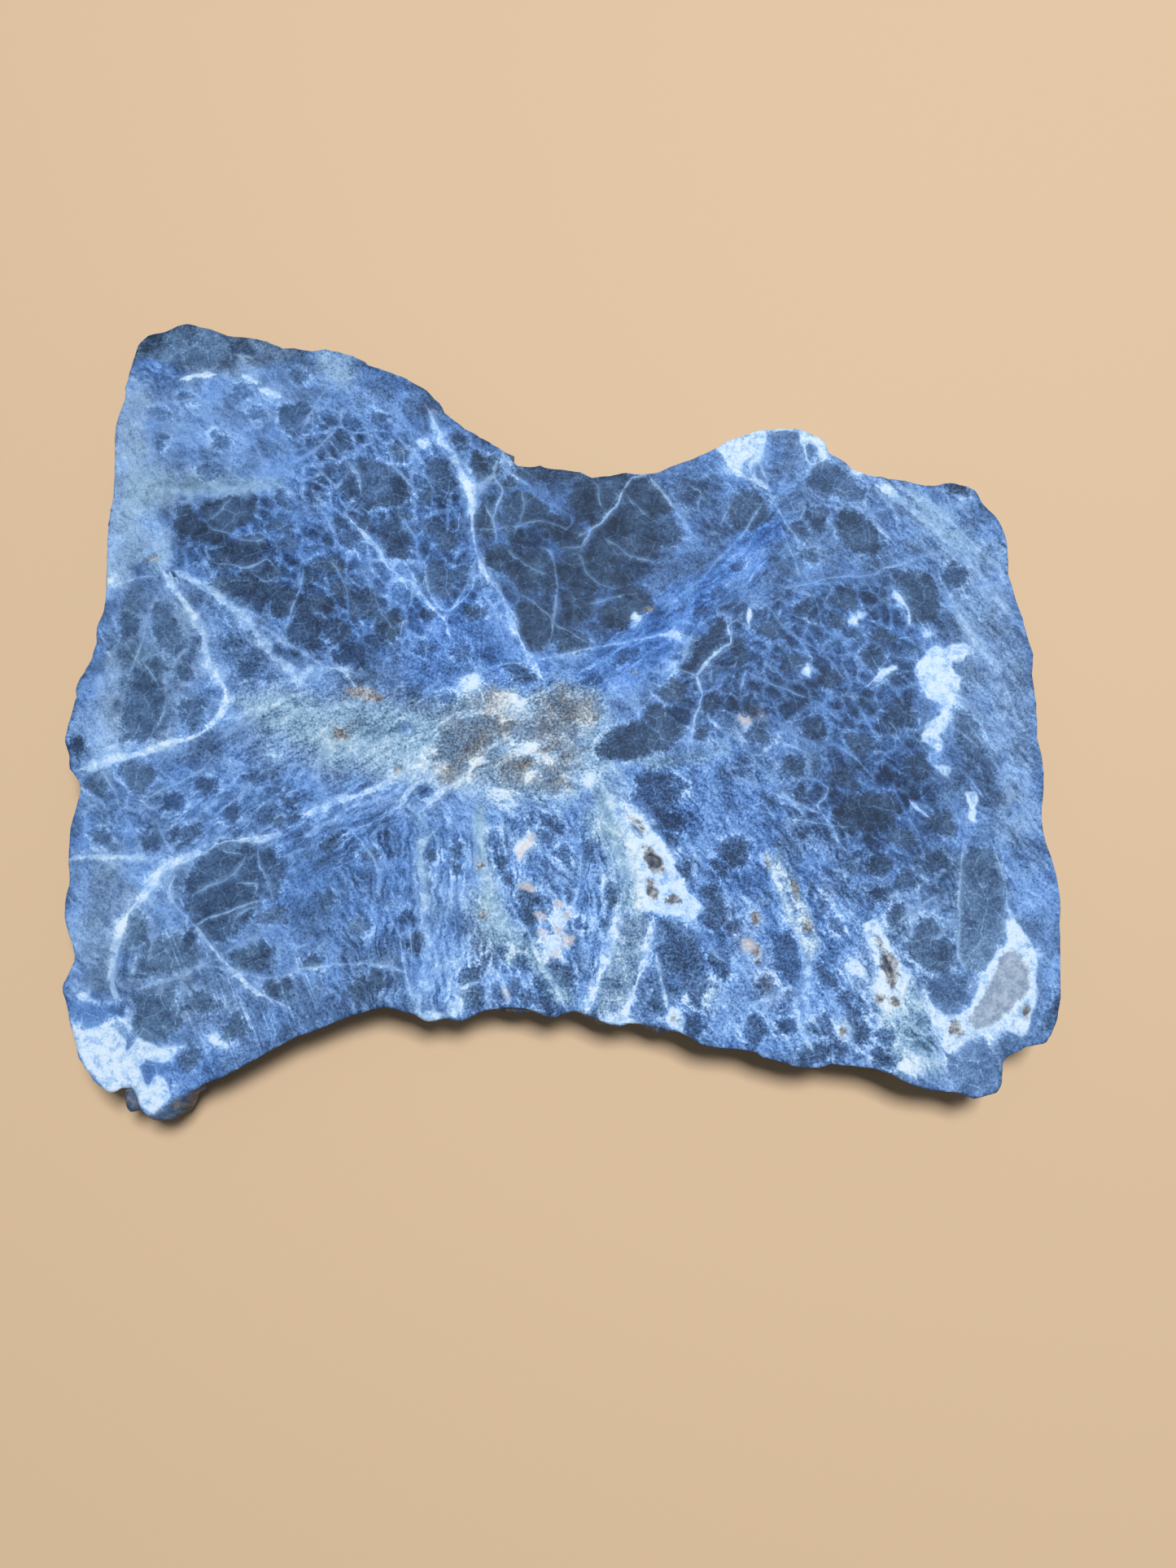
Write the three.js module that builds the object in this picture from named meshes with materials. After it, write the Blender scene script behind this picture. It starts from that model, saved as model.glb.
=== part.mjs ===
// Rough sodalite: one sawn slab of the rock, lying on its lower saw cut.
// Millimetres, +Z up, the lower cut on z = 0, X along the length, Y across it.
import * as THREE from "three";

const THICK = 8; // between the two saw cuts
const SKIN_ROUGH = 0.16; // small breaks of the rim, either side of its course
const LUMP = 0.55; // lumps and hollows of the broken wall
const FACET = 6.4; // usual width of one break face of the wall
const BREAK = 0.85; // how far neighbouring break faces step or lean apart
const UNDERCUT = 1.5; // how far the wall is broken back under the front edge
const SPREAD = 6; // rim points either side that set the direction of "outwards"

// The broken wall between the cuts: depth under the upper cut, how far it stands out of the
// rim there, how much of the lumps shows, how far the rim's small corners are rounded away.
const WALL = [
  [0, 0, 0, 0],
  [0.5, 0.15, 0.25, 0.1],
  [1.5, 0.2, 0.6, 0.3],
  [2.8, 0.1, 1, 0.5],
  [4.2, -0.3, 1, 0.6],
  [5.7, -0.9, 1, 0.7],
  [7.2, -1.6, 0.7, 0.8],
  [THICK, -2.2, 0.4, 0.8],
];

// The rim of the upper cut, clockwise from the tall left tip.
const RIM = [
  [-63.0, 53.8], [-62.2, 54.9], [-61.0, 55.6], [-59.5, 55.9], [-58.2, 56.5], [-56.8, 57.2],
  [-55.4, 57.2], [-53.8, 56.8], [-51.5, 56.0], [-50.0, 55.3], [-47.5, 55.1], [-45.3, 54.8],
  [-43.8, 54.4], [-42.6, 53.8], [-41.4, 53.2], [-39.5, 53.3], [-36.8, 52.8], [-35.0, 53.2],
  [-33.2, 52.7], [-31.0, 52.1], [-29.6, 51.1], [-27.5, 50.2], [-25.0, 49.3], [-23.4, 48.7],
  [-22.2, 47.8], [-20.5, 46.9], [-19.4, 45.9], [-17.9, 44.5], [-17.0, 42.9], [-15.0, 41.2],
  [-12.8, 39.7], [-10.5, 38.3], [-8.9, 37.3], [-7.2, 35.7], [-6.0, 34.4], [-4.2, 34.2],
  [-2.6, 34.4], [-1.2, 33.9], [1.0, 33.6], [3.4, 33.2], [5.0, 32.5], [7.5, 32.8],
  [10.0, 33.3], [12.3, 33.0], [14.8, 33.3], [17.0, 34.4], [19.4, 35.3], [21.5, 36.3],
  [23.4, 37.2], [24.8, 38.3], [27.0, 39.0], [29.4, 39.9], [32.0, 40.2], [34.9, 40.3],
  [37.0, 39.6], [38.6, 38.8], [39.4, 37.8], [39.8, 36.5], [41.3, 35.6], [43.0, 34.1],
  [44.6, 33.3], [46.8, 32.6], [50.2, 32.1], [53.2, 31.4], [55.1, 31.0], [56.4, 31.5],
  [57.5, 31.7], [59.9, 31.1], [61.0, 30.5], [61.6, 29.2], [62.6, 27.6], [64.2, 25.7],
  [64.8, 23.9], [65.1, 20.5], [64.9, 17.6], [65.6, 14.4], [66.6, 10.8], [67.1, 8.0],
  [67.7, 5.6], [67.3, 2.7], [67.6, -1.6], [67.3, -6.4], [67.9, -11.5], [67.4, -15.5],
  [67.1, -19.2], [67.6, -22.0], [68.5, -25.2], [68.8, -29.0], [68.4, -34.0], [68.0, -40.5],
  [67.5, -43.6], [66.9, -45.8], [65.9, -47.6], [65.0, -48.4], [62.8, -48.7], [61.2, -49.4],
  [60.0, -50.2], [59.4, -51.6], [59.2, -53.4], [58.4, -54.6], [56.8, -55.1], [55.4, -55.4],
  [53.2, -54.6], [49.9, -54.3], [47.4, -53.7], [44.7, -52.3], [42.5, -51.5], [39.9, -51.2],
  [36.8, -50.9], [35.1, -51.4], [31.6, -51.2], [30.2, -50.7], [27.6, -50.1], [27.0, -49.4],
  [24.3, -49.0], [20.4, -48.6], [18.9, -48.0], [16.6, -46.8], [13.8, -46.1], [11.4, -45.6],
  [8.6, -45.9], [6.2, -45.3], [3.7, -44.2], [2.3, -44.0], [0.1, -44.9], [-1.8, -44.4],
  [-4.0, -43.7], [-6.5, -43.5], [-9.6, -44.0], [-11.2, -44.8], [-12.6, -45.4], [-14.6, -45.0],
  [-16.6, -45.4], [-17.8, -45.1], [-19.0, -44.4], [-21.4, -43.8], [-23.2, -43.6], [-25.8, -44.3],
  [-28.2, -45.0], [-31.5, -46.3], [-34.2, -47.3], [-38.2, -49.4], [-41.8, -51.4], [-44.2, -52.7],
  [-46.2, -53.4], [-47.4, -53.9], [-48.8, -54.6], [-50.2, -55.2], [-51.6, -56.1], [-52.5, -56.9],
  [-53.3, -57.4], [-54.2, -57.1], [-54.9, -56.0], [-55.3, -54.8], [-56.0, -54.0], [-57.4, -54.1],
  [-58.9, -54.6], [-60.3, -53.7], [-61.7, -52.2], [-62.8, -50.8], [-63.6, -49.2], [-64.2, -47.2],
  [-65.0, -45.3], [-65.3, -43.8], [-66.2, -41.6], [-66.1, -40.2], [-65.3, -38.4], [-65.0, -36.6],
  [-65.9, -33.9], [-66.8, -31.6], [-66.9, -29.6], [-66.5, -27.2], [-66.9, -23.4], [-67.0, -19.4],
  [-66.4, -16.0], [-66.1, -13.7], [-66.8, -12.1], [-67.8, -11.0], [-68.0, -9.2], [-68.8, -7.0],
  [-68.7, -5.6], [-68.3, -3.2], [-67.7, -0.6], [-67.8, 1.2], [-67.0, 2.9], [-66.0, 5.2],
  [-65.6, 7.4], [-65.7, 9.6], [-64.9, 12.2], [-64.7, 16.2], [-65.1, 20.8], [-65.3, 25.2],
  [-64.9, 29.8], [-65.2, 35.6], [-65.4, 39.0], [-65.2, 42.0], [-64.4, 45.2], [-64.5, 46.9],
  [-64.0, 49.6], [-63.4, 52.2],
];

// Places where the wall stands out of the rim by a known amount, or is broken back from it:
// x, y, reach along the wall, how far, and the depths it starts and ends at.
const KNOBS = [
  [-51.2, -55.9, 3.3, 2.0, 0.3, 6.5], // dark knob under the lower left corner
  [-55.5, -54.5, 2.1, 2.5, 0.4, 6.0], // broken facet beside it
  [-5.4, -43.6, 4.6, 0.7, 0.1, 1.8], // brown lips under the front edge
  [5.8, -45.1, 3.8, 0.6, 0.1, 1.8],
  [13.9, -46.2, 3.2, 0.7, 0.1, 1.8],
  [-67.6, -8.6, 2.4, -1.6, 0.2, 4.0], // small cave in the left wall
  [-30.0, 51.5, 9.0, 1.6, 2.5, 7.0], // ledges along the back
  [12.0, 33.0, 12.0, 1.4, 3.0, 7.6],
  [52.0, 31.8, 8.0, 1.5, 2.0, 6.5],
  [67.8, -28.0, 12.0, 1.3, 3.0, 7.6],
  [-65.5, 24.0, 14.0, 1.2, 3.4, 7.6],
  [-66.4, -34.0, 6.0, 1.1, 2.6, 7.0],
  [36.0, -51.0, 8.0, -1.2, 1.2, 6.5], // hollows under the right of the arch
  [-22.0, -43.8, 7.0, -1.1, 1.4, 6.0],
];

// Open pits of the upper cut: x, y, length, width, turn in degrees, depth.
const PITS = [
  [11.2, -19.9, 3.2, 0.9, -52, 0.7],
  [13.4, -23.8, 3.2, 2.0, -30, 0.9],
  [13.2, -28.2, 2.0, 1.4, 0, 0.6],
  [-22.1, -11.1, 1.8, 1.1, 70, 0.6],
  [44.7, -38.2, 4.4, 1.3, -68, 0.6],
  [33.0, -28.3, 3.4, 1.0, -66, 0.5],
  [-4.0, -10.2, 1.6, 0.9, 25, 0.5],
];

// A fixed pseudo-random value from 0 to 1 for each lattice point.
function lattice(i, j, k) {
  const s = Math.sin(i * 127.1 + j * 311.7 + k * 74.7) * 43758.5453;
  return s - Math.floor(s);
}

// Smooth noise from -1 to 1.
function noise(x, y, z) {
  const [i, j, k] = [x, y, z].map(Math.floor);
  const [u, v, w] = [x - i, y - j, z - k].map((t) => t * t * (3 - 2 * t));
  const mix = THREE.MathUtils.lerp;
  const row = (b, c) => mix(lattice(i, j + b, k + c), lattice(i + 1, j + b, k + c), u);
  return 2 * mix(mix(row(0, 0), row(1, 0), v), mix(row(0, 1), row(1, 1), v), w) - 1;
}

// The rim with a point halfway along each span, on the curve through its neighbours.
function fineRim() {
  const at = (i) => RIM[(i + RIM.length) % RIM.length];
  return RIM.flatMap((p, i) => {
    const half = [0, 1].map(
      (a) => (9 * (p[a] + at(i + 1)[a]) - at(i - 1)[a] - at(i + 2)[a]) / 16,
    );
    const out = [at(i + 1)[1] - p[1], p[0] - at(i + 1)[0]]; // left of travel is outwards
    const r = (-SKIN_ROUGH * noise(half[0] * 0.9, half[1] * 0.9, 5)) / Math.hypot(...out);
    return [p, [half[0] + out[0] * r, half[1] + out[1] * r]];
  });
}

const rim = fineRim();
const COUNT = rim.length;
const rimAt = (i) => rim[(i + COUNT) % COUNT];

// The rim with its small corners rounded off, and the way out of the rock at each point.
const rounded = rim.map((_, i) => {
  const near = Array.from({ length: 2 * SPREAD + 1 }, (_, k) => rimAt(i + k - SPREAD));
  return [0, 1].map((a) => near.reduce((t, p) => t + p[a], 0) / near.length);
});
const outwards = rim.map((_, i) => {
  const [a, b] = [rimAt(i - SPREAD), rimAt(i + SPREAD)];
  const n = [a[1] - b[1], b[0] - a[0]];
  return n.map((c) => c / Math.hypot(...n));
});

// Distance along the rim to each of its points.
const along = [0];
for (let i = 1; i < COUNT; i++) {
  const [a, b] = [rim[i - 1], rim[i]];
  along.push(along[i - 1] + Math.hypot(b[0] - a[0], b[1] - a[1]));
}

// The wall is broken in faces, each with its own step and lean, in an upper and a lower row.
function breakFace(s, depth) {
  const place = s / FACET + 0.3 * Math.sin(s / 5);
  const cell = Math.floor(place);
  const row = depth > 2.6 + 2.6 * lattice(cell, 1, 0) ? 1 : 0;
  const [step, lean, turn] = [2, 3, 4].map((k) => 2 * lattice(cell, k, row) - 1);
  return BREAK * (step + (lean * (depth - THICK / 2)) / THICK + turn * (place - cell - 0.5));
}

// 1 between two depths, easing to 0 above the first and below the second.
function band(depth, from, to) {
  const ease = THREE.MathUtils.smoothstep;
  return ease(depth, from, from + 0.9) * (1 - ease(depth, to, to + 1.2));
}

// How far the wall stands out of the rim at one point of it, at one depth.
function standOut(i, depth, base, lumps) {
  const [x, y] = rim[i];
  const low = noise(x / 7, y / 7, depth / 3);
  const high = noise(x / 2.6 + 40, y / 2.6, depth / 1.7);
  let out = base + lumps * (breakFace(along[i], depth) + LUMP * (low + high));
  if (y < -42 && x > -47) out -= UNDERCUT * Math.min(1, depth / 2.5);
  for (const [kx, ky, reach, far, from, to] of KNOBS) {
    const d = Math.hypot(x - kx, y - ky) / reach;
    if (d < 1) out = THREE.MathUtils.lerp(out, far, (1 - d * d) * band(depth, from, to));
  }
  return out;
}

function ringAt([depth, base, lumps, soft]) {
  return rim.map((p, i) => {
    const out = depth ? standOut(i, depth, base, lumps) : 0;
    return [0, 1]
      .map((a) => p[a] + soft * (rounded[i][a] - p[a]) + outwards[i][a] * out)
      .concat(THICK - depth);
  });
}

const faces = [];
const addFace = (...corners) => faces.push(...corners.flat());

function joinRings(upper, lower) {
  upper.forEach((a, i) => {
    const j = (i + 1) % upper.length;
    addFace(a, upper[j], lower[j]);
    addFace(a, lower[j], lower[i]);
  });
}

// A flat cut: the area inside an outline, less its holes, facing up or down.
function cut(outline, holes, up) {
  const flat = (ring) => ring.map((p) => new THREE.Vector2(p[0], p[1]));
  const all = [outline, ...holes].flat();
  const plan = THREE.ShapeUtils.triangulateShape(flat(outline), holes.map(flat));
  for (const t of plan) {
    const [a, b, c] = t.map((k) => all[k]);
    const turn = (b[0] - a[0]) * (c[1] - a[1]) - (b[1] - a[1]) * (c[0] - a[0]);
    if (turn > 0 === up) addFace(a, b, c);
    else addFace(a, c, b);
  }
}

function oval([x, y, length, width, turn], scale, z, sides) {
  const t = THREE.MathUtils.degToRad(turn);
  return Array.from({ length: sides }, (_, k) => {
    const a = (2 * Math.PI * k) / sides; // anticlockwise, so a pit faces its own middle
    const r = (scale / 2) * (1 + 0.14 * noise(k * 0.9, x, y));
    const [u, v] = [length * r * Math.cos(a), width * r * Math.sin(a)];
    return [x + u * Math.cos(t) - v * Math.sin(t), y + u * Math.sin(t) + v * Math.cos(t), z];
  });
}

// One pit: steep sides down to a small uneven floor. Gives back its mouth.
function sinkPit(pit) {
  const [mouth, middle, floor] = [
    oval(pit, 1, THICK, 14),
    oval(pit, 0.78, THICK - 0.7 * pit[5], 14),
    oval(pit, 0.4, THICK - pit[5], 14),
  ];
  joinRings(mouth, middle);
  joinRings(middle, floor);
  cut(floor, [], true);
  return mouth;
}

const rings = WALL.map(ringAt);
rings.slice(1).forEach((lower, i) => joinRings(rings[i], lower));
cut(rings[0], PITS.map(sinkPit), true);
const seat = oval([0, -6, 84, 48, 0], 1, 0, 10); // the plain middle of the lower cut
cut(rings.at(-1), [seat], false);
cut(seat, [], false);

const shape = new THREE.BufferGeometry();
shape.setAttribute("position", new THREE.Float32BufferAttribute(faces, 3));
shape.computeBoundingBox();
const middle = shape.boundingBox.getCenter(new THREE.Vector3());
shape.translate(-middle.x, -middle.y, 0);
shape.computeVertexNormals();

const sodalite = new THREE.MeshStandardMaterial({
  color: 0x4a6ea8,
  roughness: 0.55,
  metalness: 0,
});
const slab = new THREE.Mesh(shape, sodalite);
slab.name = "sodalite_slab";

const group = new THREE.Group();
group.name = "rough_sodalite";
group.add(slab);
export default group;
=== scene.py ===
import math
import re

import bmesh
import bpy
import numpy as np
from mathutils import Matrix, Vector
from mathutils.geometry import delaunay_2d_cdt
from mathutils.kdtree import KDTree


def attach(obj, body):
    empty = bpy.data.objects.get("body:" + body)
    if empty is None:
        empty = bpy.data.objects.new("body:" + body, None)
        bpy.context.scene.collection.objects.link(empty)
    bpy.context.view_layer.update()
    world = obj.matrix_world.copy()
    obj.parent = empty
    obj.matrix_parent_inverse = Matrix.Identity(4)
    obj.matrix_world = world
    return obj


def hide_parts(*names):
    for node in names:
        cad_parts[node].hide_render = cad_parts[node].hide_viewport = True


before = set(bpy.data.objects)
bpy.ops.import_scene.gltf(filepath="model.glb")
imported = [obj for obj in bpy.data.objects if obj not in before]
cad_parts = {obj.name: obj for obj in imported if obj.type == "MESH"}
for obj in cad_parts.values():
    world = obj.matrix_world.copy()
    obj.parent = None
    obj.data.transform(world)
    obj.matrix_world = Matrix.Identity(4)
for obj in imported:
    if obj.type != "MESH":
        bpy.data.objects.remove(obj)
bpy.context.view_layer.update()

# ---------------------------------------------------------------------------------------
# The slab. One piece of blue sodalite rock between two parallel saw cuts, 8 mm apart.
# Its edge is left as the rock broke: small conchoidal faces under a sharp sawn rim.
# The upper cut has a few small open pits where soft grains fell out of the veins.
MM = 0.001
THICK = 8.0  # between the saw cuts
HALF = (70, 59)  # half the length and the width, and a little more
GRAIN_STEP = 0.41  # spacing of the points of the sawn face
PIT_STEP = 0.16  # the same inside the pits
BASE_STEP = 4.0  # the same on the lower cut
ROW_STEP = 0.866  # between their rows, as a share of that spacing
LOOSE = 0.16  # how far they are moved about, as a share of it
PIT_REACH = 1.12  # how far the fine points go, as a share of the pit
PIT_WANDER = 0.12  # unevenness of a pit's edge, as a share of the pit
WALL_RELIEF = 0.26  # chips and steps of the broken wall, above the large break faces
RIM_RELIEF = 0.07  # crumbled sawn edge
SAW_RELIEF = 0.012  # waviness of the saw cut
OFF = np.array([-0.38, 0.42])  # from the middle of the sawn rim to the middle of the slab

# Open pits of the upper cut: x, y, length, width, turn in degrees, depth.
PITS = [
    (11.2, -19.9, 3.2, 0.9, -52, 0.7),
    (13.4, -23.8, 3.2, 2.0, -30, 0.9),
    (13.2, -28.2, 2.0, 1.4, 0, 0.6),
    (-22.1, -11.1, 1.8, 1.1, 70, 0.6),
    (44.7, -38.2, 4.4, 1.3, -68, 0.6),
    (33.0, -28.3, 3.4, 1.0, -66, 0.5),
    (-4.0, -10.2, 1.6, 0.9, 25, 0.5),
]


def smooth(t):
    t = np.clip(t, 0, 1)
    return t * t * (3 - 2 * t)


def noise(points, size, seed):
    """Smooth noise from -1 to 1 with lumps of the given size."""
    cell = np.floor(points / size).astype(np.int64)
    part = smooth(points / size - cell)
    total = 0
    for corner in range(8):
        step = np.array([corner & 1, corner >> 1 & 1, corner >> 2])
        key = (cell + step) @ np.array([73856093, 19349663, 83492791]) + seed * 7919
        value = np.sin((key % 1000003) * 12.9898) * 43758.5453
        weight = np.prod(np.where(step, part, 1 - part), axis=1)
        total = total + weight * (value - np.floor(value))
    return 2 * total - 1


def in_pit(xy, pit):
    """0 in the middle of a pit, 1 on its edge."""
    x, y, length, width, turn, _ = pit
    u, v = (xy - OFF - [x, y]).T
    c, s = math.cos(math.radians(turn)), math.sin(math.radians(turn))
    return np.hypot(2 * (c * u + s * v) / length, 2 * (c * v - s * u) / width)


# The broken wall is the cut rock's own wall, made four times as fine.
rock = bmesh.new()
rock.from_mesh(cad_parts["sodalite_slab"].data)
bmesh.ops.remove_doubles(rock, verts=rock.verts, dist=2e-6)
flat = [
    f
    for f in rock.faces
    if all(v.co.z > (THICK - 1e-3) * MM for v in f.verts) or all(v.co.z < 1e-6 for v in f.verts)
]
bmesh.ops.delete(rock, geom=flat, context="FACES")
rock.faces.ensure_lookup_table()
left, shells = set(rock.faces), []
while left:
    shell, edge_of = set(), [left.pop()]
    while edge_of:
        face = edge_of.pop()
        shell.add(face)
        near = {g for e in face.edges for g in e.link_faces if g in left}
        left -= near
        edge_of += near
    shells.append(shell)
shells.sort(key=len)
bmesh.ops.delete(rock, geom=[f for s in shells[:-1] for f in s], context="FACES")
bmesh.ops.subdivide_edges(rock, edges=rock.edges, cuts=1, use_grid_fill=True)
bmesh.ops.triangulate(rock, faces=rock.faces)
rock.normal_update()
rock.verts.index_update()
rock.verts.ensure_lookup_table()


def loop(level):
    """The wall's edge on one saw cut, in order."""
    edges = [e for e in rock.edges if e.is_boundary and abs(e.verts[0].co.z - level) < 1e-5]
    chain = [edges[0].verts[0], edges[0].verts[1]]
    while True:
        nxt = [
            e.other_vert(chain[-1])
            for e in chain[-1].link_edges
            if e.is_boundary and e.other_vert(chain[-1]) is not chain[-2]
        ][0]
        if nxt is chain[0]:
            return [v.index for v in chain]
        chain.append(nxt)


rim, foot = loop(THICK * MM), loop(0)
wall = np.array([v.co for v in rock.verts]) / MM
out = np.array([v.normal for v in rock.verts])
wall_faces = np.array([[v.index for v in f.verts] for f in rock.faces])
rock.free()
depth = THICK - wall[:, 2]
rough = 0.55 * noise(wall, 1.9, 1) + 0.3 * noise(wall, 0.9, 2) - 0.5 * np.abs(noise(wall, 3.1, 3))
rough = WALL_RELIEF * rough * smooth(depth / 0.9) + RIM_RELIEF * noise(wall, 0.8, 4)
move = out * (rough * smooth((THICK - depth) / 0.8))[:, None]
move[:, 2] *= smooth(depth / 0.9)
wall += move


def fill(ring, inner, up):
    """Triangles across a saw cut: its ring of wall points, and points inside it."""
    flat_points = np.concatenate([wall[ring, :2], inner])
    n = len(ring)
    edges = [(i, (i + 1) % n) for i in range(n)]
    made = delaunay_2d_cdt([Vector(p) for p in flat_points], edges, [], 1, 1e-6)
    source = [ids[0] if ids else -1 for ids in made[3]]
    kept = [f for f in made[2] if all(source[k] >= 0 for k in f)]
    faces = np.array([[source[k] for k in f] for f in kept])
    a, b, c = (flat_points[faces[:, k]] for k in range(3))
    turn = np.cross(b - a, c - a)
    wrong = turn < 0 if up else turn > 0
    faces[wrong] = faces[wrong][:, ::-1]
    return faces[np.abs(turn) > 1e-9]


def lattice(step, seed):
    """Points over the whole slab on a loosened triangular grid."""
    xs, ys = (np.arange(-h, h, s) for h, s in zip(HALF, (step, step * ROW_STEP)))
    grid = np.array([(x + step / 2 * (k % 2), y) for k, y in enumerate(ys) for x in xs])
    return grid + np.random.default_rng(seed).uniform(-LOOSE, LOOSE, grid.shape) * step


def tree_of(ring):
    """A search tree of the wall's points on one saw cut, seen in plan."""
    made = KDTree(len(ring))
    for i, p in enumerate(wall[ring]):
        made.insert((p[0], p[1], 0), i)
    made.balance()
    return made


def clear_of(points, ring, gap):
    ring_tree = tree_of(ring)
    return np.array([ring_tree.find((x, y, 0))[2] > gap for x, y in points])


sawn = lattice(GRAIN_STEP, 7)
fine = lattice(PIT_STEP, 8)
near_pit, in_fine = (
    np.min([in_pit(grid, p) for p in PITS], axis=0) < PIT_REACH for grid in (sawn, fine)
)
sawn = np.concatenate([sawn[~near_pit], fine[in_fine]])
sawn = sawn[clear_of(sawn, rim, 0.3)]
under = lattice(BASE_STEP, 9)
under = under[clear_of(under, foot, 1.5)]

top_faces, base_faces = fill(rim, sawn, True), fill(foot, under, False)
top_ids = np.concatenate([rim, len(wall) + np.arange(len(sawn))])
base_ids = np.concatenate([foot, len(wall) + len(sawn) + np.arange(len(under))])
sunk = np.zeros(len(sawn))
for pit in PITS:
    r = in_pit(sawn, pit) + PIT_WANDER * noise(np.c_[sawn, sunk], 0.7, 5)
    sunk = np.maximum(sunk, pit[5] * smooth((1.05 - r) / 0.55))
heights = THICK - sunk - SAW_RELIEF * (1 + noise(np.c_[sawn, sunk], 1.4, 6))
verts = np.concatenate([wall, np.c_[sawn, heights], np.c_[under, np.zeros(len(under))]])
faces = np.concatenate([wall_faces, top_ids[top_faces], base_ids[base_faces]])
used = np.unique(faces)
place = np.full(len(verts), -1)
place[used] = np.arange(len(used))
verts, faces = verts[used], place[faces]

mesh = bpy.data.meshes.new("sawn_sodalite")
mesh.vertices.add(len(verts))
mesh.vertices.foreach_set("co", (verts * MM).ravel())
mesh.loops.add(faces.size)
mesh.loops.foreach_set("vertex_index", faces.ravel().astype(np.int32))
mesh.polygons.add(len(faces))
mesh.polygons.foreach_set("loop_start", np.arange(0, faces.size, 3, dtype=np.int32))
mesh.update(calc_edges=True)
mesh.validate()


def stand(data):
    """Puts an object into the scene, under the name of its data."""
    made = bpy.data.objects.new(data.name, data)
    bpy.context.collection.objects.link(made)
    return made


slab = stand(mesh)

# ---------------------------------------------------------------------------------------
# The rock's own pattern. Sodalite grows as dark blue grains that were broken, pulled into
# streaks and healed by paler veins, with white and tan feldspar in the widest of them.
# It runs right through the slab, so the same marks come out on the broken wall.

# Each mark is a shape in plan, in millimetres from the middle of the sawn rim: its corners
# "x,y x,y ...", or an oval "x,y,length,width,turn in degrees", or the name of an area.
# A row of a table holds some values and then the marks that have them, with slashes between.
# A row that is longer than its line goes on below, two spaces in.

# Areas that several of the tables share.
AREAS = {
    "dark_back": "-11,34 -2,34 13,33 14,24 12,13 4,8 -3,6 -9,16 -12,24",
    "dark_left": "-54,29 -44,30 -34,25 -20,28 -12,22 -8,12 -22,7 -34,6 -42,11 -50,17 -55,21",
    "dark_right": "20,13 33,15 48,18 52,10 50,-4 54,-14 52,-24 40,-24 28,-16 22,-8 14,-6 12,2",
    "left_lobe": "-63,16 -57,17 -52,10 -50,0 -54,-7 -63,-8 -65,4",
    "left_tip": "-64,50.5 -62,56.5 -55,58 -48,56 -38,54.5 -38,52 -46,50 -54,49.6",
    "left_rim": "-66,50 -61,48 -60.5,38 -60,24 -61,16 -66,14",
    "back_net": "-38,44 -26,42 -14,34 -13,24 -24,22 -38,30",
    "green_arm": "-46,0 -30,2 -16,0 -10,-8 -16,-14 -30,-13 -44,-8",
    "back_right": "13,33 22,36 36,34 36,22 28,18 16,18",
    "upper_right": "33,38 44,34 62,31 66,18 54,20 40,22 33,26",
    "right_rim": "55,20 65,22 67,8 67,-20 62,-22 57,-12 56,0 58,8",
    "lower_right": "46,-28 54,-22 62,-22 61,-36 54,-44 47,-38",
    "corner_rim": "62,-22 69,-24 69,-46 65,-48 65,-34 62,-30",
    "royal_band": "3,3 5,6.5 18,17 28,24 33,31 37,30 32,19 24,9 16,3 7,0",
}

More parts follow.
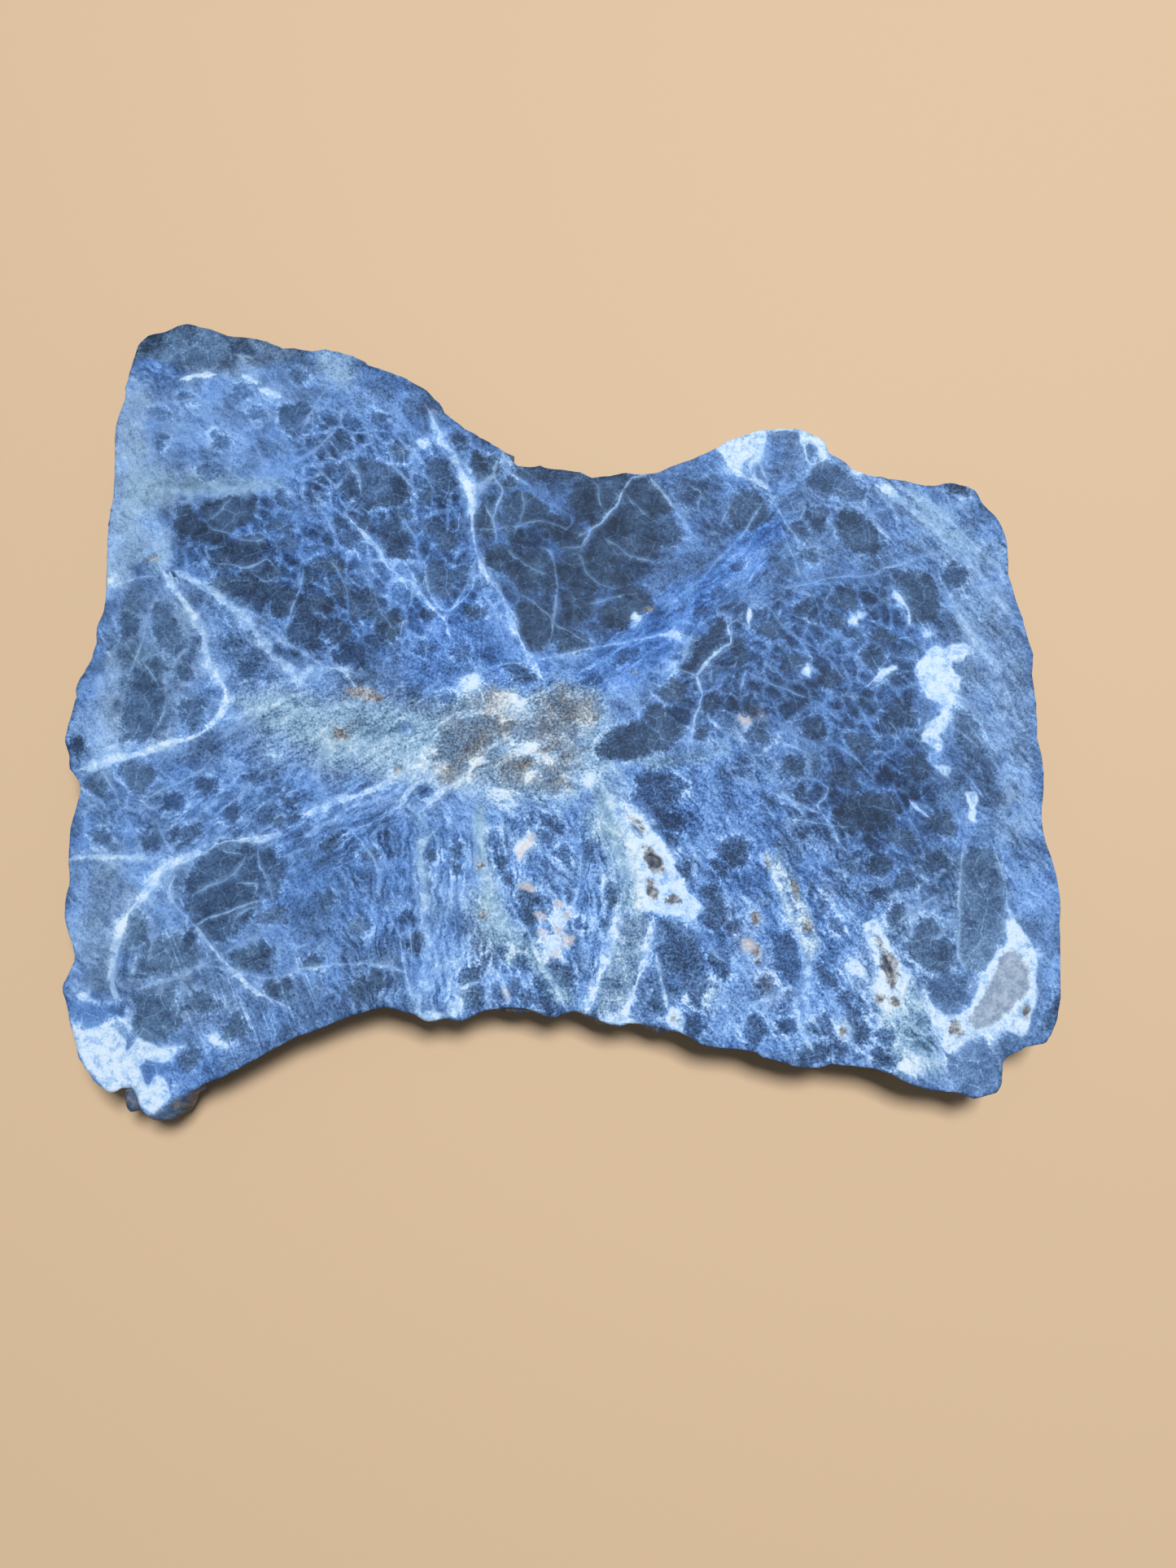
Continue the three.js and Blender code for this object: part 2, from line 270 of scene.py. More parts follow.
# Veins: width, lightness (0 darkest blue to 1 white), course.
VEINS = """
# main vein, from the back slope to the grey middle, with its strands
0.6 0.85 -19.5,43.5 -18.2,41 -16.8,38.5 -15,35.5 -14,33.3 -13.3,31.3 -12.6,28.5 -12.5,26 -12,22
0.6 0.88 -12,22 -11.3,19.8 -10.5,18 -9.3,16 -8,14.3 -7.3,12 -6.5,10 -5.8,8.8 -4.5,6.5 -3.5,4.5
  -2,1.8
0.3 0.8 -10.5,18 -8.8,16 -7.5,13.5 -6.3,11.5 -5.8,10
0.5 0.85 -8,34 -6,32.5 -4.3,31.3
0.3 0.75 -9.3,34 -9.3,32.5 -8,30.5 -9,27.5 -9.6,25.8
0.3 0.7 -10.5,28 -9.3,25.5 -9,23
0.5 0.7 -35,28.2 -33.5,26 -32,23.5
0.3 0.7 -24.5,40 -22.7,37.7 -21.5,36 -21,34 -22,32
0.25 0.7 -24.8,35 -22.2,32 -20.8,30
0.3 0.7 -23,26.5 -21,23.5 -19.8,20
1 0.88 -18.7,41.1 -17.2,38.4 -15.3,35.3 -13.8,32.2 -12.6,29.5
1.5 0.68 -8.8,35.3 -10.2,32.2 -11.7,30.3 -12.5,27.6
0.4 0.76 -19.2,18.6 -18.4,14.8 -15.5,11.9 -13.4,15.6 -12.1,17.8
0.4 0.7 -15.5,11.9 -16.8,9.7 -18.2,7.5 -18.8,4.6
# pinkish white vein, upper left
0.7 0.88 -31.2,26.7 -29.4,25.2 -27.8,23.1 -26.2,21.8 -25.3,20.2 -24.1,18.4 -22.5,16.8 -21.6,15.6
0.45 0.88 -21,16.3 -19.8,14.8 -18.5,13.3 -17,11.5 -16,10.5 -15.3,8
0.3 0.75 -15.5,12 -13.8,13.6 -12.4,15.8 -12.2,18.5
0.3 0.7 -19,35 -17,36.2 -15,35.5
# big arc on the left
1.5 0.9 -57,18 -55.5,16 -53.8,14 -52.5,12 -51.3,10 -50.3,8 -50,6 -49.3,3.8 -48,2 -46.8,0.5
1.5 0.95 -46.8,0.5 -46.5,-1.3 -47.3,-3 -48.5,-4.5 -50,-5.8 -52,-6.8 -54.5,-7.5 -57,-8.3 -59,-8.8
1.3 0.95 -57,-8.3 -61,-9.4 -64,-10.3 -66.5,-11
0.3 0.7 -52.5,-4.8 -51.5,-6.2
1.4 0.86 -55,18 -52.5,16.8 -49.8,15 -47.5,13.2 -45.8,11.8 -44.5,10.2 -43,8.7 -41.5,7 -40.8,5.5 /
  -40.8,5.5 -38.8,4 -36.8,2.5 -35,3 -32,3.6 -30.3,3.3 -29.5,2 -28.3,0.8
0.5 0.72 -42.3,9.8 -40.3,8.5 -37.8,6.8 -35.5,5.5 -33.3,4
0.5 0.78 -64.8,15.3 -63.2,16 -61,16.9 -58,17.2
0.3 0.75 -58.7,4.2 -57.5,2.8 -56.8,1.8
0.25 0.65 -57.5,14.5 -58.5,11 -59.3,7 -60.5,3 / -53,6.5 -55,2 -55.2,-3 -57,-6.5
1 0.92 -35,-17.3 -32,-16.5 -29.5,-15.2 -26.5,-14.2 -23.5,-13 -21,-11.5 -18.5,-9.5 -16.5,-8
1 0.8 -46,-3.6 -43,-2.8 -40,-1.5 -37,-0.6 -34.5,0.4
# dark field left of the middle
0.35 0.66 -48.5,19.3 -46.3,18.8 -45,18.4 -43.3,19.1 -41.8,19.8 -40.8,18.8
0.3 0.69 -36.8,18.3 -37,15.8 -37.8,13.3 -38.3,11.5 -38.8,9.3
0.25 0.59 -43.3,17.3 -41.8,16.6 -40.3,17.3 / -35,11.8 -33.8,11.7 -32.8,11
0.25 0.54 -47.5,23.5 -44,22.6 -40.5,23.8 -37,22
0.2 0.6 -50.9,25.9 -49.3,27.5 -48,29.2
0.2 0.54 -51.5,25.9 -50.5,24.7 -48,24 -46,23.4
0.25 0.54 -33.5,21 -31,17 -29.8,12.5 -30.5,10.5
0.25 0.59 -28.5,20.5 -27,17.5 -25.5,12.5 -23,9
0.3 0.54 -40.5,27.3 -38,26.9 -35,27
# upper left
1.1 0.95 -56,48.4 -54,48.9 -51.6,49.2
0.8 0.92 -47,49 -44.8,47.7
0.9 0.95 -44.5,46.6 -41,45.2
0.4 0.66 -63,46 -62.3,43 -61,40.5 -60,38 -59,36
0.9 0.62 -61,40.7 -57,40.6 -54,39.5
1.9 0.68 -60,30.6 -57,30.3 -53.5,30.2 -49,30.3 -45.7,31.1 -43.2,31.9 -40.3,33.3
0.3 0.66 -36.2,44.5 -36.4,42 -36.2,39.5
0.3 0.62 -52,43 -48,41 -45,38 -43.5,35.5 / -33,46 -30.5,43 -27.5,40.5 -26,37
0.25 0.6 -57,35.5 -52,35 -47,36.2 -42,35
0.5 0.72 -31,35 -29.3,33 -28.6,30.5
0.7 0.7 -37.7,40.2 -36.4,43.3 -34.4,46.5 -30.1,48.9
0.6 0.7 -62,45.7 -60.8,41.5 -60.4,37.8 -59.6,34
0.5 0.68 -60.5,44.1 -55,44.8 -50.3,44.5 / -40,34.4 -36,36.5 -32.7,40.2
# dark field behind the middle
0.3 0.8 10.7,32.5 9.5,30.5 8.7,28.7 7.2,26.7 6.2,25.2 5,24.5 4.2,23 3.7,22.2
0.25 0.8 10.7,32.5 13,33
0.2 0.63 5,24.5 3.2,23.4
0.2 0.49 9.8,30 11.5,28.2 13.5,26 / 4.7,32 6,31 6.2,29 6.9,27.4
0.25 0.54 -1.8,31.3 -1,29.2 0.7,27.5 1.8,26.5 2,25.5 1.2,24.5
0.3 0.66 -2.2,21.5 -1,21 -0.8,20 -0.2,17.8 0,15.5 -0.3,13.3 -0.5,11 -0.8,8.5 -1.5,7 -2.5,5.8
0.2 0.54 -7,15 -4,13.8 -2,12.2 -0.8,10.8 0,10 1.8,9 3.5,7.8 4.8,7
0.25 0.64 0.5,21.6 3.8,21.8 4.5,23
0.2 0.49 2.3,20.8 3.5,20.2 3.8,18.8 4.5,17.5 6.8,15.8 10,14.9
0.25 0.62 5,13.3 8,14 11,14.8
0.25 0.6 -11.5,24.5 -7,24.8 -2.5,25.8 1.2,24.5
0.2 0.54 -7.5,21.5 -4.5,19 -1,17 / -5.5,31.5 -5,27.5 -6.5,23.5 / 7,23 10.5,20.5 14.5,19.5
0.45 0.56 12.2,32.6 16,33.6 19.5,35
0.25 0.8 -9.7,3.5 -7,4.2 -2.5,4.9 1,5.6 5,6.5 7.8,7 11,7.8 15,8.5 17,9
0.3 0.63 -11.1,6.5 -11.1,4 -11.1,2
# royal blue band and the upper right
0.35 0.72 15,12.5 18.3,14.8 20.7,16.8
0.45 0.78 27.3,16 28.5,18 30.3,19.8
0.3 0.68 20.7,17 24,20.5 27,24 29.5,28
0.35 0.75 13.3,32.5 14.5,31 16,29 17,27.3 18.3,25.5 19.5,23.7 21.2,22.8
0.25 0.68 19.5,31.2 20.8,30.2 20.5,27.7 22,25.7
0.3 0.68 25.7,30 24.7,27.7 24,25.5
0.9 0.9 25.4,34.5 26.6,33 28.4,32.2 30.5,31.1 31,30
1.2 0.8 30.6,39 29.6,36.5 28.6,34 28.8,31.8
0.4 0.8 29.2,35.5 30,33.5 30.9,31
0.5 0.85 36.4,37.5 37,34.6 38.6,35.2
0.4 0.7 32.5,24.6 33.8,20.8 35.4,16.2
0.35 0.7 38.7,30 41.2,28.7 43.7,27.7 46,26.5 47.5,25
0.9 0.8 46.3,31.4 50.5,28.4 53.9,25.3 57.9,20.8 60.5,17.8 64.4,11.9
0.7 0.78 55.5,16.3 58.6,9.7 62.4,3.2 64.7,-3.2
0.6 0.76 50,31 53,29 56,27 58,25 59.5,23 61,21.5
0.3 0.72 31,30 33,26 35,22.5 36,18
0.3 0.68 46.5,30.5 49.5,27 52,24 54,21
0.3 0.72 33,15.5 35.8,16 39.3,17 45,17.5 47,18.6 49,19 52,20 54.8,21 57,21.8
0.3 0.66 34,34.5 33,31 34.5,27.5 / 40,25 37,22 34,20.3
# right
0.55 0.9 48.5,14.8 49.5,13.3 50.3,11.8 50.6,10.3
0.3 0.82 43.5,0.8 44.8,1.8 46.5,2.9
0.35 0.72 53.8,18 54.8,15.8 55.8,14.3 57,12 58,9.5 60,7.3 60.8,6
0.4 0.7 58,21 59.5,19 60.5,16.8 61.3,15.3 62,13.5
0.4 0.74 62,3 63,0.5 63.4,-2 62.8,-5.5
0.7 0.7 56.3,-0.8 59.3,-3 63,-6
0.25 0.72 55.5,-5 59,-7.8 / 58,-4.8 60.8,-8.8
0.25 0.7 57.3,-12 59.3,-15
0.25 0.66 54.3,-15 57,-20.5 / 63,20 64,14 65,9
0.3 0.68 60.5,-9 62.5,-13 63.5,-18
0.25 0.75 46.8,-4.3 47.5,-5.5 47.2,-7.8
0.4 0.84 24.2,10.2 24.8,7.5 23.5,6.8 22,5 20.2,3 19.8,2.5 20.5,0.5 20.2,-2 19.5,-3.5 19,-6
0.3 0.75 17,3.5 18.5,2.8 19.8,2.5
0.3 0.72 26,0.3 26.6,3
0.35 0.88 27.3,11.3 27.3,9.3
0.25 0.66 30,13 33,9 37.5,6 41,1.5
0.25 0.64 27,3 31,1 36,-1 40,-4
0.25 0.62 37,14 38.5,9 43,7.5 / 30,-3 34,-6.5 40,-8 44,-12
# white veins right of the front
1.8 0.98 9.8,-16 11.8,-18.6 13.4,-21 15.2,-23.4 15.8,-26 17,-28.6 19.2,-30.8
2.6 0.86 6.5,-13.5 8.6,-17 10.3,-20.5 11.3,-24 11.8,-27.5 11.3,-31
1.4 0.95 12,-28 14,-29.6 16.2,-30.6 18.6,-31
1 0.95 9.4,-31 8.6,-32 7.3,-35.5 5.9,-39.7 4.2,-43.9
1.2 0.95 13.2,-31.6 12.6,-34.8 11.6,-38.4 10.3,-41.5 9.4,-44.8
0.5 0.9 28.8,-22 29.6,-25 30.8,-28.4 32.6,-32.6 33.6,-35.6 34.4,-37.5
0.9 0.82 34.4,-37.5 34,-40 33,-42 34,-44 35.2,-46.4
0.8 0.82 33,-41.5 31,-41 29,-42.3 26.6,-42.8
# left of the front
0.3 0.7 -63.5,-11.3 -61.8,-13.5 -61,-14.8 -59.8,-17.8 -58.5,-19.3 -57.5,-22.5 / -57,-15.3 -55,-14
  -52.5,-12.8 -50.5,-11.8 -49.3,-11 -48.5,-10
1 0.88 -66.8,-23.8 -63.5,-23.4 -59.3,-23.3 -56,-23.4
0.4 0.76 -57.3,-24.8 -58.8,-25
1 0.9 -38,-20.2 -41.5,-20.9 -44.8,-21.1 -46.3,-21.5 -48,-22.4 -49.8,-23.1 -51.5,-23.8 -53.3,-24.5
1.7 0.95 -51.5,-23.8 -53.3,-24.5 -54.8,-25.5 -55.8,-27.3 -56.5,-29 -57.8,-30.3 -59.2,-33.3
1 0.82 -59,-33 -59.6,-35.7 -59.7,-38.9 -59.3,-41.6 -59,-43
0.35 0.7 -52.8,-22.8 -53.8,-21 -55,-19
0.35 0.62 -63.2,-30 -63.3,-36 -62.5,-40 -62.8,-43 / -57.2,-35 -57.5,-38 -57,-42
0.3 0.6 -55.2,-32 -54.5,-34 -54.8,-36 -55,-38
0.25 0.68 -45.8,-22.4 -43.3,-23
0.22 0.6 -49.6,-28.6 -47.4,-27.2 -45.4,-26.6 -43.6,-25 -42.6,-23.2
0.22 0.62 -44.2,-33.8 -43.4,-31.4 -41.4,-30.2 -39.6,-30.4
0.25 0.66 -41.2,-21.8 -40.6,-24.2 -39.4,-26.6 -38.6,-29.6
0.25 0.7 -43.3,-26.8 -41,-26.9 -41.3,-28.5
0.35 0.76 -49,-32.7 -47.5,-31.8 -44,-30.6 -41,-29.3 -39,-29
0.5 0.8 -52.3,-26 -52.8,-28 -51.8,-30 -49.3,-32.5 -47.5,-34.5 -45.5,-36.5
0.6 0.88 -46.5,-35.5 -45.3,-36.9 -44,-38.3 -42.5,-39.7 -41,-41 -39,-42 -37.3,-42.7
0.3 0.78 -37.3,-42.7 -36,-43.5
0.45 0.74 -56.1,-41 -53.5,-40.2 -51.5,-39.8 -49.5,-39 -47.5,-38 -45.8,-37.3
0.4 0.7 -49,-38.4 -46,-38.2 -43,-39 -40,-39.6 -37,-39.5 -34.5,-38.8 -33.4,-38.5
0.4 0.82 -36.8,-39.6 -34.5,-38.7 -32,-38.3 -30,-38 -27,-37.9 -24,-38.1 -22.5,-38.2 -20.3,-38.8
0.4 0.74 -36,-36 -34,-35.2
0.9 0.62 -45,-36.5 -42,-34.8 -39,-33.8 -36,-33.5
# wisps in the green arm and at its root
1.1 0.86 -24.2,-13.3 -21.2,-11.8 -18.9,-9 -17.2,-6.9
0.9 0.88 -21.7,-16.1 -20.1,-13.9 -17.4,-12.1 -15.4,-10.1
1.2 0.9 -18.6,-16.8 -16,-14.4 -13.6,-13.2 -12,-11.1
0.8 0.72 -40.3,-4.8 -36.3,-3 -31.5,-2 -26,-1.6
0.8 0.7 -47.7,-6.9 -44.4,-4.8 -39.7,-4.1
1.8 0.74 -33.1,-4.8 -31.9,-7.6 -33.5,-11.1 -32.7,-13.2
1 0.74 -30.5,-9 -27.1,-7.6 -23,-6.9 -19,-4.8
# front, left of the grey middle
0.7 0.8 -21,-13 -23,-14.5 -25.8,-15.5 -28.3,-16.2 -29.5,-17.3 -31.5,-18.5 -32.8,-19 -33.3,-20
  -34.8,-20.5
0.45 0.76 -31.3,-20 -28.8,-19.5 -26.3,-22 -24.5,-24.8 -24.3,-27.5 -24,-29 -22.5,-31.5 -21.2,-34
0.45 0.8 -21.2,-34 -20.9,-36 -20.3,-38.5 -19.8,-40 -19.5,-42.5
0.9 0.8 -17,-20 -18.5,-21.5 -18.6,-24 -18.3,-26.5 -18,-29 -18,-32
1 0.8 -18,-32 -17.3,-34.5 -17.2,-36.5 -17.9,-38.5 -17.7,-40.5 -18.3,-43 -18.2,-44.5
0.4 0.72 -20,-32 -19.5,-36.5 -19.2,-40
1.6 0.74 -11,-17.5 -11,-20.5 -10.8,-23.5
0.9 0.78 -10.6,-24.1 -9.5,-27 -8,-31 -6,-34.5
0.5 0.85 -13,-41.3 -11.5,-40.6 -10,-40.3
0.5 0.84 -7.8,-39 -6.5,-41.5 -6,-42.8
0.8 0.84 -14.6,-38.5 -14,-41 -12.8,-43 -12.3,-45
0.6 0.8 -8.5,-36.5 -9,-39.5 -8.7,-43.3 / -4,-33 -2.5,-36.5 -0.2,-40.5 1.6,-43.8
0.5 0.74 3,-20 3.5,-25 2.5,-30
1 0.7 6,-15 7.5,-19 9,-23 9.5,-27
0.8 0.82 13.7,-36.8 14.2,-39.5 15,-43.5
0.5 0.7 18,-31.5 20,-34.5 23.5,-38 26.5,-40
# right of the front
0.35 0.8 32.3,-31.3 33.2,-35.1 34.2,-37
0.9 0.78 34.2,-35 33.4,-39 32.6,-43 33,-46 34.5,-49.5
0.7 0.76 30.9,-40.4 28.5,-42.3 26,-43.7 25.2,-46
0.3 0.74 26.7,-16.3 31.4,-17.7 36.8,-18.7 40.2,-19.1
0.3 0.72 24.8,-11.8 28.8,-13.6 32.8,-15.6 36.2,-17 38.9,-18.4
0.3 0.66 28.9,-10.8 31.5,-14.3 34.2,-17
0.4 0.72 30,-12.8 32.8,-15.8 34.8,-18
0.3 0.7 22,-12.5 23.5,-14.3
0.3 0.78 35.3,-12.3 36.8,-12.8 37.8,-13.5 37.3,-15 36.3,-16 37,-17.5 38,-18.8 39,-21.5
0.35 0.76 45,-8.3 47,-9.5
0.3 0.72 45.5,-10.8 45.6,-9.6
0.5 0.9 49.3,-15.8 50.3,-16.8 51.5,-17.7
0.3 0.72 56.3,-20.8 55.9,-23 55.5,-25.3 55.3,-27.3 54.8,-32 54.5,-36 55.5,-39.5
0.4 0.76 60.3,-22.5 61,-24.8 61.5,-27.3 61.6,-29.3 61.9,-31.5
0.3 0.68 51,-34.5 53.2,-33.3 55,-31
0.3 0.66 46,-33 49,-30.5 52.5,-28.5
0.6 0.7 36.5,-41 37.3,-43.5 39,-46 39.5,-49.5
0.4 0.68 31,-25 36,-24 41,-26.5
"""

